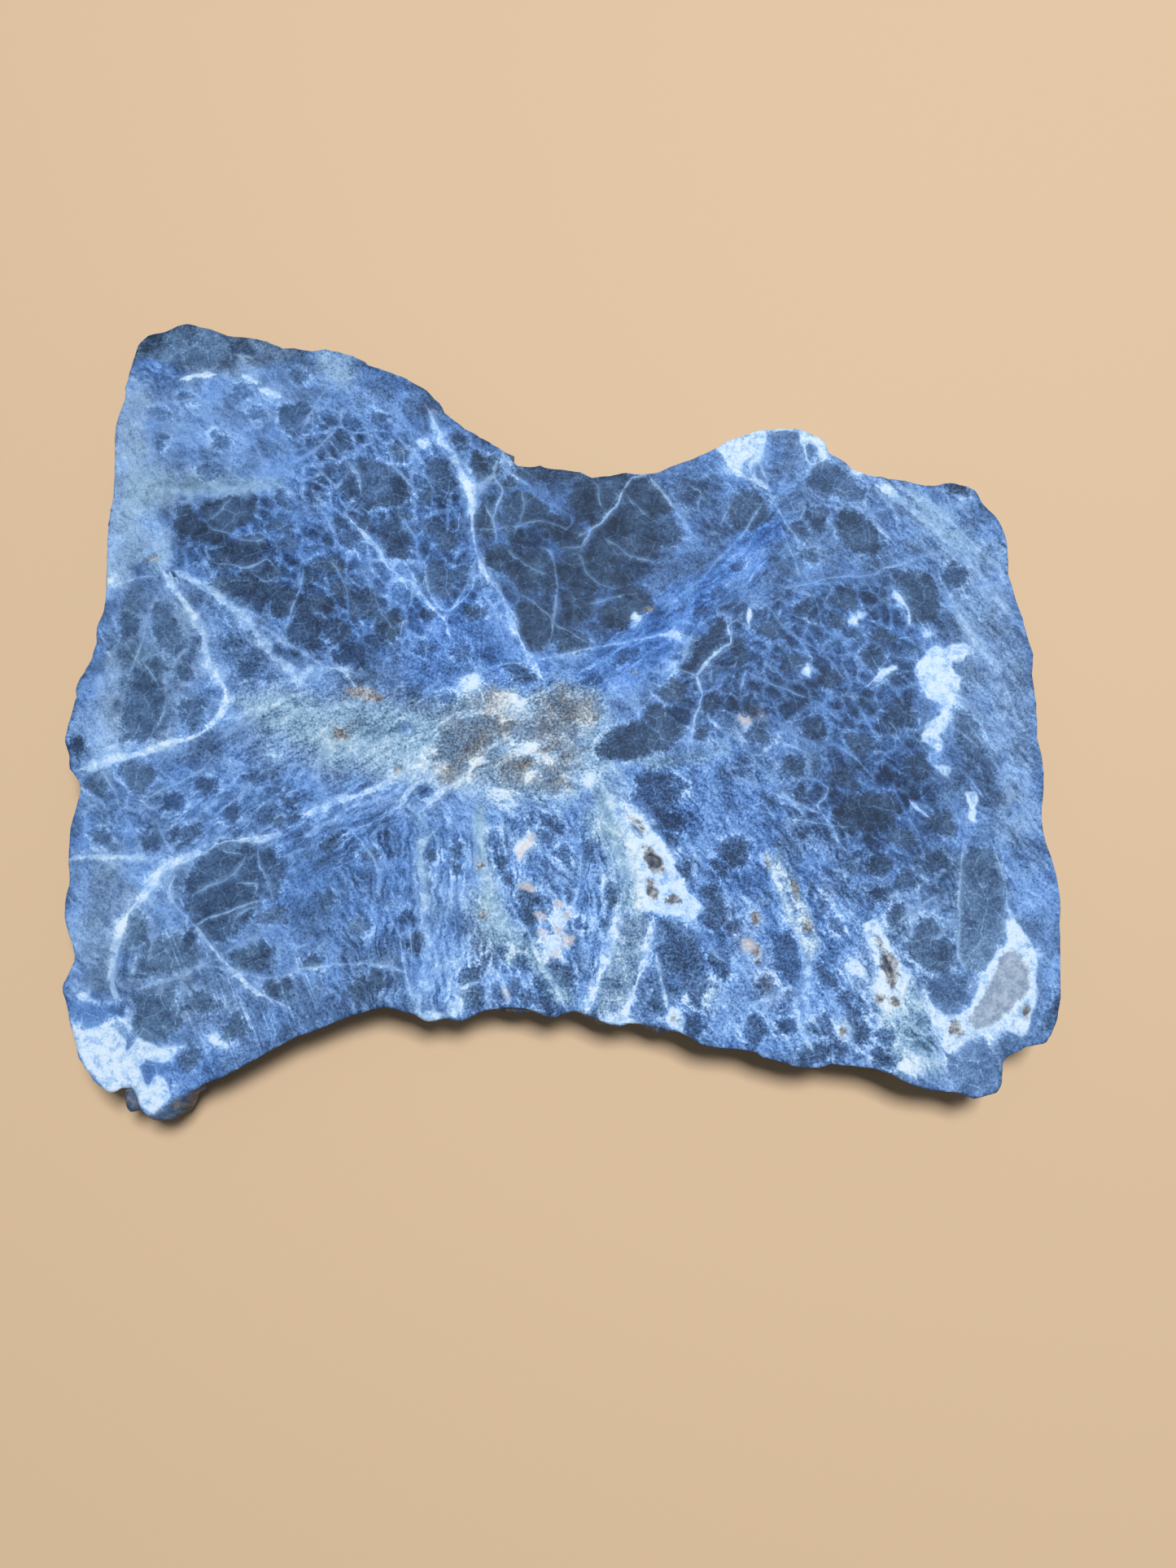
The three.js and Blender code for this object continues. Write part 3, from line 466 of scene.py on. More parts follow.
# Dark grains and fragments: lightness, hue (0 slate, 1 royal), outline.
CELLS = """
# upper left
0.12 0.1 -60.2,55.4,4,1.2,20
0.38 0.2 -62,54 -60,55.5 -56,56.8 -51.5,55.8 -49,54.6 -50,51.5 -54,50.6 -59,51.2 -61.5,52
0.1 0.1 -63.2,53.6 -61.5,55.2 -59,55.6 -57.4,54.2 -58.3,52.3 -61,52.2
0.24 0.2 -56.8,52.8 -55,55.6 -52,55.4 -50,53.4 -53,51.6
0.12 0.2 -47.5,53.2,3,1.2,-20
0.37 0.7 -62,48.8,1.8,1.2 / -59,49,1.6,1.1,30
0.36 0.4 -38.5,48.8,1.9,1.4,-30
0.4 0.3 -38.6,42,2.2,2.4
0.37 0.5 -59.5,42.4,2.6,2,10 / -58.8,38.3,2.2,1.3,-35 / -51.6,33.2,3,1.5,-35
0.42 0.5 -50,38.3,2.2,1.4,-30 / -55.5,45,2.4,1.2,-25
0.24 0.6 -26.5,42,2.2,1.5,-40
0.4 0.5 -31.9,37.4,1.8,1.4 / -34.5,37.6,1.4,1.1
0.42 0.6 -44.5,42.5,2.4,1.3,-35 / -47,46.5,2.2,1,-25
0.22 0.4 -19,35 -17.5,35.2 -16.5,34 -15.2,32.3 -15.3,31 -17,30.6 -18.8,31.5 -19.3,33 /
  -29.7,34,2.2,1.6 / -14.5,38.2,3,1.4,-45
0.2 0.4 -19,29.5,2.6,1.8,20 / -28,25,1.8,2.2 / -31.5,34.5 -28.3,35.7 -23.9,34.1 -22.7,30.6
  -25.1,28.4 -28.7,28.4 -30.6,31.4 / -19.1,17.8 -17.4,19.3 -15.2,17.1 -16.6,14.8 -18.7,14.8
0.08 0.25 -25,34.5 -24,33.5 -22.7,32 -22.2,29.7 -24,28.5 -27.5,28.2 -28,29 -26,30 -26,32
0.28 0.25 -23.5,36.5,2.2,2.6,20
0.18 0.3 -16,22.5,2.4,3.2,20
0.14 0.4 -26.1,26.1 -23.7,26.8 -21.4,22.3 -22,20.1 -24.9,20.8
0.1 0.3 -29.6,14.5 -27.5,15.2 -25.3,13.4 -26.3,11.5 -28.8,11.5
0.14 0.3 -26,11.5 -23.2,11.9 -22.8,9.7 -24.8,8.2
0.28 0.5 -40.9,43.5 -37.3,44.3 -36.1,41.5 -38.5,38.8 -40.8,40.7
# dark field, upper left
0.1 0.2 -55.4,26.8 -54.6,27.8 -53.7,27.9 -53.1,27.1 -52.9,25.4 -53.2,24 -54.1,23.6 -55.4,24.5
0.06 0.1 -52.9,25.3 -51.5,25.2 -51,24 -51.7,23.1 -52.8,23.4
0.04 0.1 -49.7,23.7,2.2,1.5,-15
0.1 0.25 -51.9,27.5 -50.5,29 -48.9,29.6 -46.4,30.3 -45.3,30 -44.6,28.6 -45,27.7 -44.9,26.5
  -45.3,26.1 -46.6,25.2 -48,24.4 -50,24.7 -51.2,25.9
0.2 0.5 -41.8,30.5 -40.7,30.6 -39.8,29.5 -39.1,27.7 -39.8,27.7 -41,28.8 -41.8,29.5
0.22 0.3 -22.7,26.7,2.4,2.4
0.22 0.4 -18.4,25.1,2.4,2.2
0.16 0.2 -25.3,23.1 -24,22.9 -22.2,22.7 -21.9,20.6 -22.5,20 -23.7,21.1 -25,22.2
0.08 0.25 -49.6,19.3 -49.4,20.6 -48,22 -46.2,22.9 -44.4,23 -43,22.9 -42.3,22 -43.2,20.6 -44,20
  -44.1,18.8 -45.3,18.6 -46.4,19 -48,18.6
0.08 0.3 -43.8,18.4 -42.5,19.3 -41.4,19.6 -40.7,18.8 -40,18.4 -40.5,17.2 -41.6,16.7 -43,17.2
  -43.8,17.5 / -30.8,8.9,2.2,2.6
0.04 0.2 -49.8,16.1 -48.9,17 -47.3,16.5 -45.7,16.8 -44.4,17.9 -43.2,17 -41.6,16.3 -39.8,15.4
  -38,14.7 -38.2,14 -40.3,13.8 -42.1,14.7 -44.4,14.7 -46.2,14.7 -47.5,14.5 -48.9,15.2
0.03 0.25 -37.9,12.5 -36.9,14 -35,14 -33.5,13.8 -32.3,12.7 -32.8,12 -35.3,11.8
0.05 0.3 -40.7,12.5 -39.8,13.4 -38.5,13.8 -37.9,13.1 -38.5,11.5 -39.8,11.5
0.06 0.4 -37.8,10.2 -36.6,11.3 -35,11.5 -33,11.1 -32.8,10.2 -33.9,9 -33.7,7.5 -34.6,6.8 -36.2,7.5
  -37.5,8.4 -38.7,9.3
0.22 0.15 -35.6,19 -34.1,20 -32.5,20.1 -31,19.3 -31,18.1 -32.8,17.9 -34.6,18.4
0.2 0.15 -31.3,15.5,3,2,-10
0.16 0.4 -35.8,17,1.6,1.8
0.05 0.6 -31,5.9 -29.6,6.5 -28.2,6.5 -27.8,4.7 -28.7,4 -31,5.2
0.2 0.6 -40.7,7.5 -39.4,7.2 -37.5,5.6 -35.7,4.5 -36.2,3.8 -38.5,5 -40,6.3
0.12 0.4 -46.2,13.6 -44.4,13.8 -42.3,13.8 -42,12.9 -43.5,12.2 -45,12.9 / -19,11.6,0.9,1.1
0.26 0.45 -40.2,24.9,3.4,1.6
0.24 0.45 -39.2,22.3,3.2,2
0.26 0.5 -29.9,22.5,2.6,2,-30
0.3 0.5 -55,29.4,2,0.8
# left
0.24 0.3 -61.2,10,2.4,3.2,10 / -60,3 -57,2 -55.3,0 -54.8,-2.5 -55,-5 -57,-6.5 -60.5,-7 -60.8,-3
  -60.5,0
0.24 0.25 -57.5,13 -56,12.8 -54.5,10 -53,7 -54,5.5 -56.5,7 -57.5,10
0.2 0.15 -57,3.5,2.8,2.6
0.26 0.4 -53,-1.2 -51,-1 -50,-3 -51.2,-5.8 -52.5,-4.5
0.3 0.3 -52.8,2.8,2,1.5,-50
0.32 0.3 -63.3,8,1.6,2.2
0.1 0.2 -67.3,-7.6,1.2,1.6
0.3 0.5 -46,10.5,1.3,1,-40
0.26 0.5 -47.2,7.8,3.8,1.6,-5 / -43,5.8,1.8,1.3
0.24 0.5 -44,3.4,1.6,1.6
0.28 0.5 -40.5,2.4,1.6,1.2
0.2 0.35 -19.8,17 -18.2,19.3 -16.5,18.8 -15.2,17 -15,15 -16,14 -17.5,15 -19.5,16.3
0.18 0.15 -27.2,12.9,4.2,3.2,10
0.28 0.1 -24.2,9.9,2.6,3.2,20
0.2 0.4 -14,17.3,1.5,2
0.16 0.3 -11.8,11.9,2.4,1.7
0.2 0.5 -18.2,11.8,1,1
0.22 0.7 -18.5,6.5,2.4,1.6 / -13.8,6,1.8,2.4
0.2 0.6 -20,0.3,1.8,1.3
0.22 0.6 -15.3,-0.7,1.3,1.1
0.12 0.4 -6.8,4 -5,4.4 -4,3.8 -3.6,2.2 -4.5,1.8 -6,2.7
0.3 0.8 -21.2,-5.2,2,1.2,-20
0.28 0.85 -21.5,-14,2.4,1.4,-30 / -18,-14.2,1.8,1.4
# middle and behind
0.03 0.12 -12,35.9 -9.4,35.7 -9.1,34 -9.6,32.4 -10.8,32.4 -11.9,33.8
0.1 0.2 -12.2,27 -11,27.8 -10,26 -9.6,24.2 -10.8,24 -12,25.2 / -7.4,29 -5.6,29.6 -3.4,29.1 -1.7,28
  -2.2,26.6 -4,26 -6.4,26.4 -7.6,27.6
0.06 0.15 -9.8,20.8 -8.8,21.6 -6.8,21.3 -6.1,20 -6.6,18.9 -8.6,18.8 -9.6,19.3
0.1 0.25 -8.3,26 -7.2,26.5 -5.9,24.8 -4.8,23 -4.5,21.8 -5.6,21.8 -7,23 -8,24.4
0.14 0.2 -7.8,32.2 -6.2,32.1 -5.9,30.8 -7.6,30.4 -8.6,31
0.14 0.15 -6,34.6 -2.4,34.4 0.6,33.6 3.6,33.2 3.8,32.4 1,32.4 -2,32.6 -3.8,32.2 -6.2,33.4
0.06 0.1 2.6,31 4.6,32.2 6.4,31.4 7.3,29.4 6.9,27.2 5.6,26.1 3.4,26.4 2.4,28.6 / 7.2,32.8 9.6,32.9
  9.2,30.6 8.1,28.8 7.7,30.8
0.05 0.1 10.2,31.8 12,32.6 13.4,31.4 15.2,29.4 15.8,27.2 14.6,25.8 12.6,26.4 10.8,28.2 9.4,30
0.08 0.12 7.2,25.8 8.6,27.6 10.2,28.2 12.2,26.2 13.8,25.2 12.6,24 10,24.2 8,24.6 / 9.4,23.6
  11.6,23.6 14,24.4 14.8,22.6 14,20.4 12,19.4 10.4,20.6 8.8,22
0.04 0.1 4.1,20.6 5.6,21.9 6.8,20.8 8.4,18.8 10,17 9.8,15.8 7.4,16 5.6,17.8 4.3,19 / 9,14.6
  10.6,15.6 12,14.4 12.8,12.9 11.6,12.1 10,10.8 8.6,9.6 8.4,10.8 9.2,12.4
0.04 0.15 0.4,24.2 2.4,24.4 3.7,23.6 3.4,22.2 1.6,21.9 0.2,22.6
0.08 0.15 -1.7,26.2 -0.3,26.3 0.2,24.8 -0.6,23.4 -1.9,24.2 / -1.5,18.8 -0.6,18.6 -0.3,16.6 -0.8,15
  -2.2,15.6 -2.6,17
0.1 0.15 -5.6,20.6 -3.6,21.2 -1.8,20.4 -1.6,19.2 -3.2,17.4 -3.6,15.2 -5.8,16 -7,17.4 -6.4,19 /
  1,20.4 3,21 3.6,19 5,17.2 5.4,15.8 3,15.4 1.2,16.4 0.6,18.4
0.03 0.15 -5.6,12 -4.2,13 -2.6,12.4 -1.4,11 -0.9,9.6 -1.3,8 -2.8,6.6 -4,7.8 -5.2,9.6
0.06 0.12 0.4,9.8 1.8,9 3.6,8 4.4,7 2.4,6.4 0.4,6.6 0.1,8
0.07 0.1 7.4,11.6,2.4,2.4
0.12 0.15 1,14.8 3.4,15 5.6,14.2 5,12 3,10.6 1.2,11.4 0.7,13 / 5.4,25 7.2,24.8 8.6,23 10,20.6 8.6,20
  6.4,21.8 5.2,23.4
0.22 0.8 4.7,2.1,2.2,1.2,30 / 9.5,5.3,3.4,1.1,35
0.24 0.8 20.5,12,2.4,1.1,40 / 23,15.2,2,1,40
0.26 0.8 26,19,2.4,1,50
0.15 0.25 24.5,27.5 25.5,29.8 28,30.5 30.2,29 30.5,26.5 28.5,24.6 25.8,24.8
0.2 0.35 16.8,31 18.5,32.5 21.5,31.8 20,29 18.5,28 / 14.5,28.5 16.5,26 18,23.5 16.5,22 14.2,24
0.22 0.35 38.5,35.5 41,34 43.5,32 45,30.5 44.5,29.2 42,29.5 38.5,30 37,31.5
0.12 0.2 41.5,27.3 43.5,27 45.2,25.5 46.5,23 46,21 43,21.5 41.5,23 41,25
0.2 0.3 38,26.3,2.4,2.8,20
0.28 0.4 34.5,24.5,2.8,2,-40 / 50,28,3.4,1.6,-45
0.08 0.1 58.4,30.9,2.8,1.4,-25
0.26 0.4 36.5,20.5,2.4,1.6
# grey middle
0.46 0.1 -8.3,-3.8 -11,-3.4 -13.5,-4.2 -15.5,-5.2 -16.5,-7 -17.6,-9.6 -16,-10 -14,-9.4 -12.5,-9
  -11,-7.5 -9,-6.9 -7.8,-5.4
0.5 0.1 -14.2,-9 -12.1,-9.8 -12.4,-11.6 -14.4,-13.2 -15.9,-12.8 -14.8,-11 / -7.6,-11.2 -5.5,-10.8
  -4,-9.2 -3.2,-10 -3.8,-11.5 -2,-11 0,-11 0.8,-12.5 0.3,-14.4 -4,-14.4 -6,-13.4
0.52 0.1 -8.8,1.3 -11,0.9 -12.5,-0.5 -13.2,-2.3 -11.4,-2 -9.4,-0.5 -8.2,0.3
0.4 0.1 -2.6,-1.2 0.5,-1.8 1,-3 0.2,-4.6 -3,-4.2 -5,-4.5 -7,-4.6 -8,-5.6 -6,-6.2 -5,-7.1 -2.5,-7.5
  -1.5,-6 1,-5.5 2.4,-6.4 2.8,-4 2.2,-1.6 1,0.4 -1,-0.2
0.6 0.1 1.2,1.6 3.2,1.2 5.6,-0.2 6,-2.2 4.6,-4.4 3.2,-3.8 2.6,-1.4 1.4,0.4
# right
0.18 0.2 49,17.5 50.5,18 53,17.5 54.3,16 54.5,13.5 54,11.5 52.5,10.5 51,10.8 50.5,12.5 49.5,14.5
  49,16
0.26 0.3 56,-2 57.5,-3 59,-5.5 60,-8 58,-9 56.5,-7 56,-5
0.14 0.25 46.5,8,3,2.6 / 44.8,5.2,2.4,2,20 / 41.3,13.8,3.2,2.4,-20
0.16 0.25 40.2,10.6,2.4,2,20
0.15 0.25 38.8,2.3,3,2,10
0.13 0.25 48,-3.5,4.2,3.2,20
0.26 0.45 57,17.5,2.6,3.2,-30
0.13 0.3 22.8,10.7 24,10.5 23.8,8.5 22.5,6 20.5,3.5 18.3,2.8 17.8,3.7 19.5,5.5 21,8 /
  20.5,-5.8,2,1.4,20 / 42.5,-7.5,3.2,2.2,-30 / 33,-10.8,2.6,1.6,-30 / 40,-12.3,3.2,2,-30
0.13 0.2 12.5,-2.5 14.5,-2 16,-3.5 17.5,-5.5 15.5,-7 14,-5.5 12.8,-4.5
0.2 0.1 16.5,0,3.4,3
0.03 0.2 6.5,-7.8 7.8,-6.3 9.5,-5.4 12,-4.5 13,-5.5 14.9,-7.4 13,-8.1 10,-8.9 7,-9
0.14 0.3 25.7,6.5,2.4,3.2,20 / 36,-5,2.6,2.2
0.15 0.3 30.5,9.5,3.4,2.2,20 / 33.5,4.5,2.6,2.2 / 28.5,-6,3,2,-20
0.12 0.3 50.5,-10.5,3.2,2.4,-40
0.16 0.35 35.5,12.5,2.4,2
0.15 0.35 22,-1.5,2.4,2
# left of the front
0.24 0.3 -61,-10 -59,-9.8 -57,-10.5 -56,-11.5 -57,-14 -58,-15 -59.5,-13.5 -60.8,-11.5 /
  -38.5,-31.3,4,2,15
0.28 0.3 -64,-12.8,2.8,3
0.26 0.7 -53,-15.8,2.6,2
0.26 0.5 -48.5,-13.5,2.4,1.8,20 / -44.8,-17.2,2.4,1.8,20
0.24 0.4 -51,-20,3.4,1.8,10 / -37.2,-15.5,1.8,1.2
0.28 0.4 -56,-21.3,2.4,1.8 / -62.8,-20.7,2.6,2
0.3 0.2 -38.5,-18.3,2,1.5
0.2 0.4 -35.9,-17.4,1.2,0.9 / -39.8,-23.8,2,1.8 / -37.9,-26.3,1.6,2
0.16 0.3 -49,-24 -47.5,-22.5 -45,-21.4 -42.5,-21.3 -41.8,-22.5 -41.5,-25 -40.7,-28 -41,-30 -42,-32
  -44,-34 -46.5,-34.5 -49,-33 -50.3,-30 -50.3,-27
0.16 0.4 -41.3,-22.6 -39.4,-22 -37.6,-23.6 -37.2,-26.6 -38.6,-29 -40.4,-28 -41,-25.4
0.04 0.2 -42.7,-28.6,2.8,3
0.08 0.3 -44.7,-23.3,2.4,1.6
0.36 0.15 -58,-31.5 -57,-31.2 -55.8,-32 -55,-34 -56.5,-35.5 -58.5,-36 -58.8,-34
0.35 0.2 -56.5,-39 -55.8,-36 -54.5,-34.8 -51,-34 -49,-35 -47.5,-36.5 -49,-37.8 -52,-38.5 -55,-39.5
0.14 0.2 -50,-35,2.2,1.5
0.36 0.2 -56,-42 -55.5,-41 -53.5,-40.5 -51,-40 -50.8,-42 -51.3,-44.5 -50.3,-46 -52,-47.5 -54.5,-48
  -56,-47 -56.5,-46.2 -56.4,-43.5
0.26 0.2 -47.5,-43,4.2,2.4 / -39.5,-40.5 -36,-40 -35.5,-42 -37.5,-42.3 -39,-41.3 /
  -48.5,-50.5,2.6,2,20
0.2 0.15 -43.5,-38 -43.8,-36.8 -42,-35.5 -39.8,-35.2 -38.5,-36 -38,-37.3 -40,-38.5 -42,-38.5
0.28 0.2 -42.7,-46,2.2,3.2,-20
0.24 0.7 -58.8,-43.8,1.6,1.2
0.3 0.6 -58.3,-37.5,2,3.4
0.45 0.9 -65.5,-42.6 -63,-43 -60.3,-43.5 -60,-44.8 -61.5,-46 -63,-46 -64.5,-44.5
0.36 0.9 -54.5,-51.3 -51.5,-50.9 -50.8,-53 -51.3,-54 -52.2,-52 -53.5,-53.3
# front, left of the grey middle
0.1 0.2 -32.9,-37.8,1.7,1.1,10
0.15 0.3 -25.5,-22.8,1.6,1.2 / -16.9,-22.7,0.9,1.7 / 7.9,-28.7,1.2,3.2
0.2 0.3 -31,-21.5,2.4,1,30
0.15 0.5 -36.3,-17.9,1.4,0.8 / -3.2,-18.2,1.3,1 / -1.9,-20.2,1.2,1.2 / 0,-19.2,1.2,1
0.1 0.25 -19,-34.9,1.4,2.2
0.2 0.2 -12.9,-40.2 -12.7,-39.2 -11.5,-38.4 -10.3,-38.2 -10,-39.5 -11.2,-40.4 -12.4,-40.9 /
  -12.7,-41.4 -10.6,-40.8 -9.6,-41.3 -9.8,-42.8 -11.5,-43.4 -12.5,-42.6
0.3 0.2 -26.5,-41.5,1.8,3.2 / -24,-40,1.8,2.2,-30
0.32 0.3 -27,-32.5,2.6,2,20
0.3 0.4 -30.8,-29,1.4,1
0.2 0.6 -20.3,-31.5,0.9,1.2
0.15 0.4 -17.8,-27,0.9,1.4 / -13.6,-22.5,0.8,1.3 / -13.7,-24.7,0.8,1.1 / -6.2,-26.3,1.3,1.1 /
  -7.4,-24.3,1,1.2
0.08 0.3 -3.7,-28.7,1.7,1.5
0.06 0.2 -3.5,-31.3,1.5,1.8
0.13 0.5 -1.2,-18.4,1.5,1.2
0.2 0.5 -3.3,-33.9,1.4,1 / -1.2,-30.6,1.5,1.1 / -7.5,-35.8,1.6,1.2,-40 / -8.8,-37.2,1.6,1.4 /
  -4.8,-37.8,2.2,1.4,-40 / -7.3,-41.6,1.6,1.6 / -2,-40,1.8,1.2 / 6.9,-32.4,1.4,1.2 / 2,-28.5,0.9,1.8
0.22 0.5 -5.5,-40.8,1.2,1.8,30
0.18 0.4 -1.1,-43,2,2.4
0.2 0.4 -3.9,-42.4,1.4,1.8,40
0.14 0.3 0,-38.6,0.9,2.6 / 1.6,-39.7,1.5,2.4
0.25 0.7 3.4,-32.8,0.9,0.9 / 6.3,-38.4,1.3,1.3
0.25 0.6 1,-23,2.2,1.2,-60 / -8.5,-20.8,1.2,1.8 / 4.5,-22.5,1.2,2.2
# right of the front
0.9 0.1 29,-23.4 30.8,-23.1 32.5,-26.5 34,-30.5 35.5,-35.1 34.5,-37.9 33,-34.5 31.2,-30 29.8,-26.5
0.62 0.1 9.6,-31.8 12.6,-31.7 11.7,-35.8 10.3,-39.7 8.9,-44.4 5.1,-44.4 6.4,-39.7 8.2,-35.1
0.08 0.6 11.5,-12.5 13.2,-11.5 15.5,-12 17.5,-13.3 16,-14.8 14.5,-15 15.5,-16 14.5,-17.5 12.5,-17.8
  11.6,-16.5 11.5,-14.8 12,-14
0.1 0.5 16.3,-18.7,2.2,1.6 / 13.5,-19,1.2,1 / 15.8,-21.3,1.6,1.2,-60 / 22.2,-37.6,3.6,1,-55
0.08 0.5 24.5,-22.5,3,3.2
0.12 0.5 17.8,-25,1.4,1.8 / 26.7,-46.5,2.2,3.2
0.15 0.5 22.3,-24.8,2.6,1,-50 / 38.9,-42.6,2.4,1.2,-60 / 40.3,-44,1.8,1.8 / 38.2,-49.3,2.6,1.6
0.1 0.4 20.6,-31 20.9,-29 20.2,-27.9 21.6,-27.6 22.6,-29.5 22.9,-31.5 21.6,-33 20.6,-32.5 /
  34.5,-49.6,3.6,2,10 / 43.9,-50.3,2.8,1.4,-30
0.2 0.6 24.1,-32.6,1.6,1.3 / 19.5,-37,1.6,2.4,30 / 44,-47.5,1.8,1.4
0.22 0.5 13.5,-32.4 16.3,-32 18.6,-33.6 20.2,-37.1 20.5,-40.4 19.3,-43.6 17.5,-41 15.5,-43.4
  14.4,-44.8 13,-43 14,-39.7 13.7,-35.8
0.1 0.6 18.3,-45.8,2.2,2
0.15 0.4 28.5,-40.5,2.2,1.2,-20
0.28 0.7 30,-34.5 31.5,-33.5 33,-36 33.8,-39 32.8,-41 31,-40.5 29.8,-38
0.14 0.6 31.9,-42,1.4,2 / 31.5,-43.8,1.4,1.2 / 31.3,-46.2,1.8,1.2
0.12 0.4 35.4,-45.9,2.6,2.6 / 40.9,-47,1.6,2.8,20 / 44.3,-28.5,1.8,1.4
0.13 0.5 36.7,-39.6,4,1.2,-50
0.1 0.3 33.8,-14.5,1.4,1.4
0.06 0.2 39,-17 41,-15.5 44,-15 46,-15 47,-16.5 46,-18.5 43,-19 40.5,-19.5 39,-18.5
0.12 0.2 53.5,-18.8,3.6,2.4,-30
0.13 0.3 52.3,-23.8,2.8,2.2 / 44.3,-24.3,2.8,2
0.14 0.3 47.5,-20.5,3.2,2,-20 / 48,-26.5,2.6,1.8,20
0.1 0.2 46.5,-31.5,2.2,1.8
0.24 0.2 47.5,-35 49,-33.2 50.5,-31.8 52,-32.5 51.5,-34 53.5,-35 54,-37 52.5,-38.5 50.5,-38.5 49,-37
  47.5,-36
0.4 0.25 55.5,-24 57,-22.8 60,-22.5 60.8,-24 61.2,-28 61,-31 61,-33.5 60,-35 59,-37 57.5,-38.3
  55.5,-38.8 54.9,-36 54.7,-32 55,-29 55,-26
0.36 0.45 50,-41 51,-39.5 53,-39 55,-40 55.3,-42 54,-44 52.5,-44.3 51,-43.5
0.6 0.5 53.5,-49.5 55,-48 57,-47.8 58.5,-49.5 58.3,-51.5 59,-53.5 57.5,-54.8 55,-54.8 53,-53
  52.5,-51
0.2 0.3 67.5,-41.5 68.2,-42.5 67.6,-45 66.6,-46.8 65.6,-46.6 66.3,-43.5
0.3 0.5 38,-33,2.2,1.2,-50 / 36.3,-30,1.2,2.2
"""

# White feldspar.
WHITES = """
10.3,-18.6 12.3,-19.9 14.4,-21.9 16.4,-25 17.8,-27.3 20.3,-30.5 19,-31.6 16,-31.2 13.1,-30.7
  12.5,-28.5 12.1,-25.5 11.3,-22.5
51,4.8 52,5.3 53.2,6.5 54.3,6.8 55.3,6 56.5,6.9 58.3,7 58.6,6.3 58,5.2 56.5,4.9 56.2,4 57,2.2 56.6,1
  56,0 56,-1.2 55.3,-2.5 55,-3.8 54.8,-5 54,-5.8 53.3,-6 53.8,-6.8 53.7,-8.3 52.9,-8.6 52.4,-7.6
  51.5,-7.2 51,-6.2 51.8,-5.5 51.8,-4.8 52.8,-4.3 54,-3.3 54.6,-2 54,-1.2 52.5,-0.8 51.5,1 50.9,2.5
  50.8,4
54.2,-11,1.4,1,-50 / 42.6,10.5,1.5,1.1,20 / 43.5,11.4,0.9,0.8 / 35.3,3.2,1.2,1.6 / 52.6,8.7,0.9,0.8
  / 46.5,2.9,3.4,1.1,32 / 27.3,11.7,0.9,2.2 / 48.8,14.2,0.9,2,30
56.8,-14.4 58.2,-14.3 58.6,-15.5 58,-16.5 58.2,-17.8 59,-18.5 58,-18.3 57,-17.8 57.3,-16.5 57,-15.5
-63.8,-47.6 -64.9,-45.2 -63,-46.4 -60.1,-45.7 -58.8,-46.2 -57.2,-48 -57.4,-49.2 -55.9,-53.8
  -56.5,-54.3 -59.1,-54.6 -60.3,-53.2 -62,-51.6 -63.4,-49.7
-55.8,-48.1 -54.3,-48 -52.9,-48.8 -49.4,-48.7 -51.7,-50 -52.2,-50.7 -54.1,-50.4 -55.2,-51.5
  -54.6,-53 -53.6,-54 -52.6,-52.7 -51.5,-53 -50.8,-54.9 -53.2,-57.6 -54.8,-56 -56.2,-53.5 -57.4,-50
-46.4,-47.3 -45.2,-46.9 -44.3,-48 -43.2,-48.9 -44,-49 -45.3,-48.3
23.1,37.2 24.8,38.6 27.9,39.9 30.8,40.5 30.6,38.4 28.6,36.2 26.6,33.9 24.9,34.1 24.3,36
33.5,40.6,4.6,0.9,5
35.9,40.6 37.5,40.2 39.3,38 39.4,35.7 38.6,35.2 38.2,37.2 37,38.4 36.2,37.2 35.6,38.4
37.6,39.2,1.6,1,-30 / 43.8,33.5,2,1.2,-35 / 48.2,30.9,2,1,-20
-13.6,31.8 -12.2,31.6 -12.4,29.5 -12.6,27.5 -13.2,29.3
-20.1,37.9,2,1.4,-20 / -64.3,16.8,1.4,1
-14.4,0.4 -13.4,1.9 -11.6,2.9 -11,2.6 -11.3,0.8 -13,0
-5.6,-0.9,2.6,1.5,-20 / -11,-9.8,2.4,1.3,20 / -7.5,-14.5,2.6,1.6,-20 / 4.8,-12.4,1.1,1.9 /
  -3.6,-12.1,2.4,0.9,35 / -1.6,-9.4,1.8,0.9,-30
-7.4,-16.6 -6.4,-15.2 -5.6,-16.6
-39.4,-8.8,0.6,0.6
-5.6,-7.6 -3,-7.1 -2.3,-7.4 -3,-8.6 -4.5,-9 -5.6,-8.5
16.3,8.7,2.2,0.7,10 / 11.3,11.2,1.2,1.4,30 / -63.3,-42,1.2,0.9 / -59.3,-33.3,1,1.3
42,-32.4 43.4,-32 44.6,-34.4 46.2,-37.2 47.8,-39.6 46.8,-41.6 46.8,-43.4 43.8,-43.4 42.2,-41.2
  43.2,-38 42.6,-35
61.4,-31.8 62.6,-32 64,-34 64.8,-37 64.8,-40 64.4,-43 63.6,-45.8 62,-47 60,-46.4 57,-46.9 55,-48
  53.3,-49 52,-47.5 50.3,-46.3 50.6,-45 49.7,-42.5 50.8,-43.4 52,-44.6 54,-44.6 55.5,-43.6 57,-41
  58.5,-38 60,-36 61.3,-34.7
15.4,-43.4 16.8,-43.6 17.4,-45 16.8,-46.9 15.5,-46.5 14.9,-45.2
40.5,-38.5,3,2,-20 / 38.4,-46.6,2.2,1.8 / 46.8,-51.6,2.6,1.6,-30 / -16.2,-44.7,3.2,1.2 /
  -13.2,-43.6,1.8,2.6,-10 / 9,-45.3,5,1,-5 / -55.4,-47.9,1,0.8 / -0.5,-35.3,2.2,3,-20 /
  0.6,-31.8,2.2,2.6 / -4.6,-21.8,3.4,1.8,50
"""

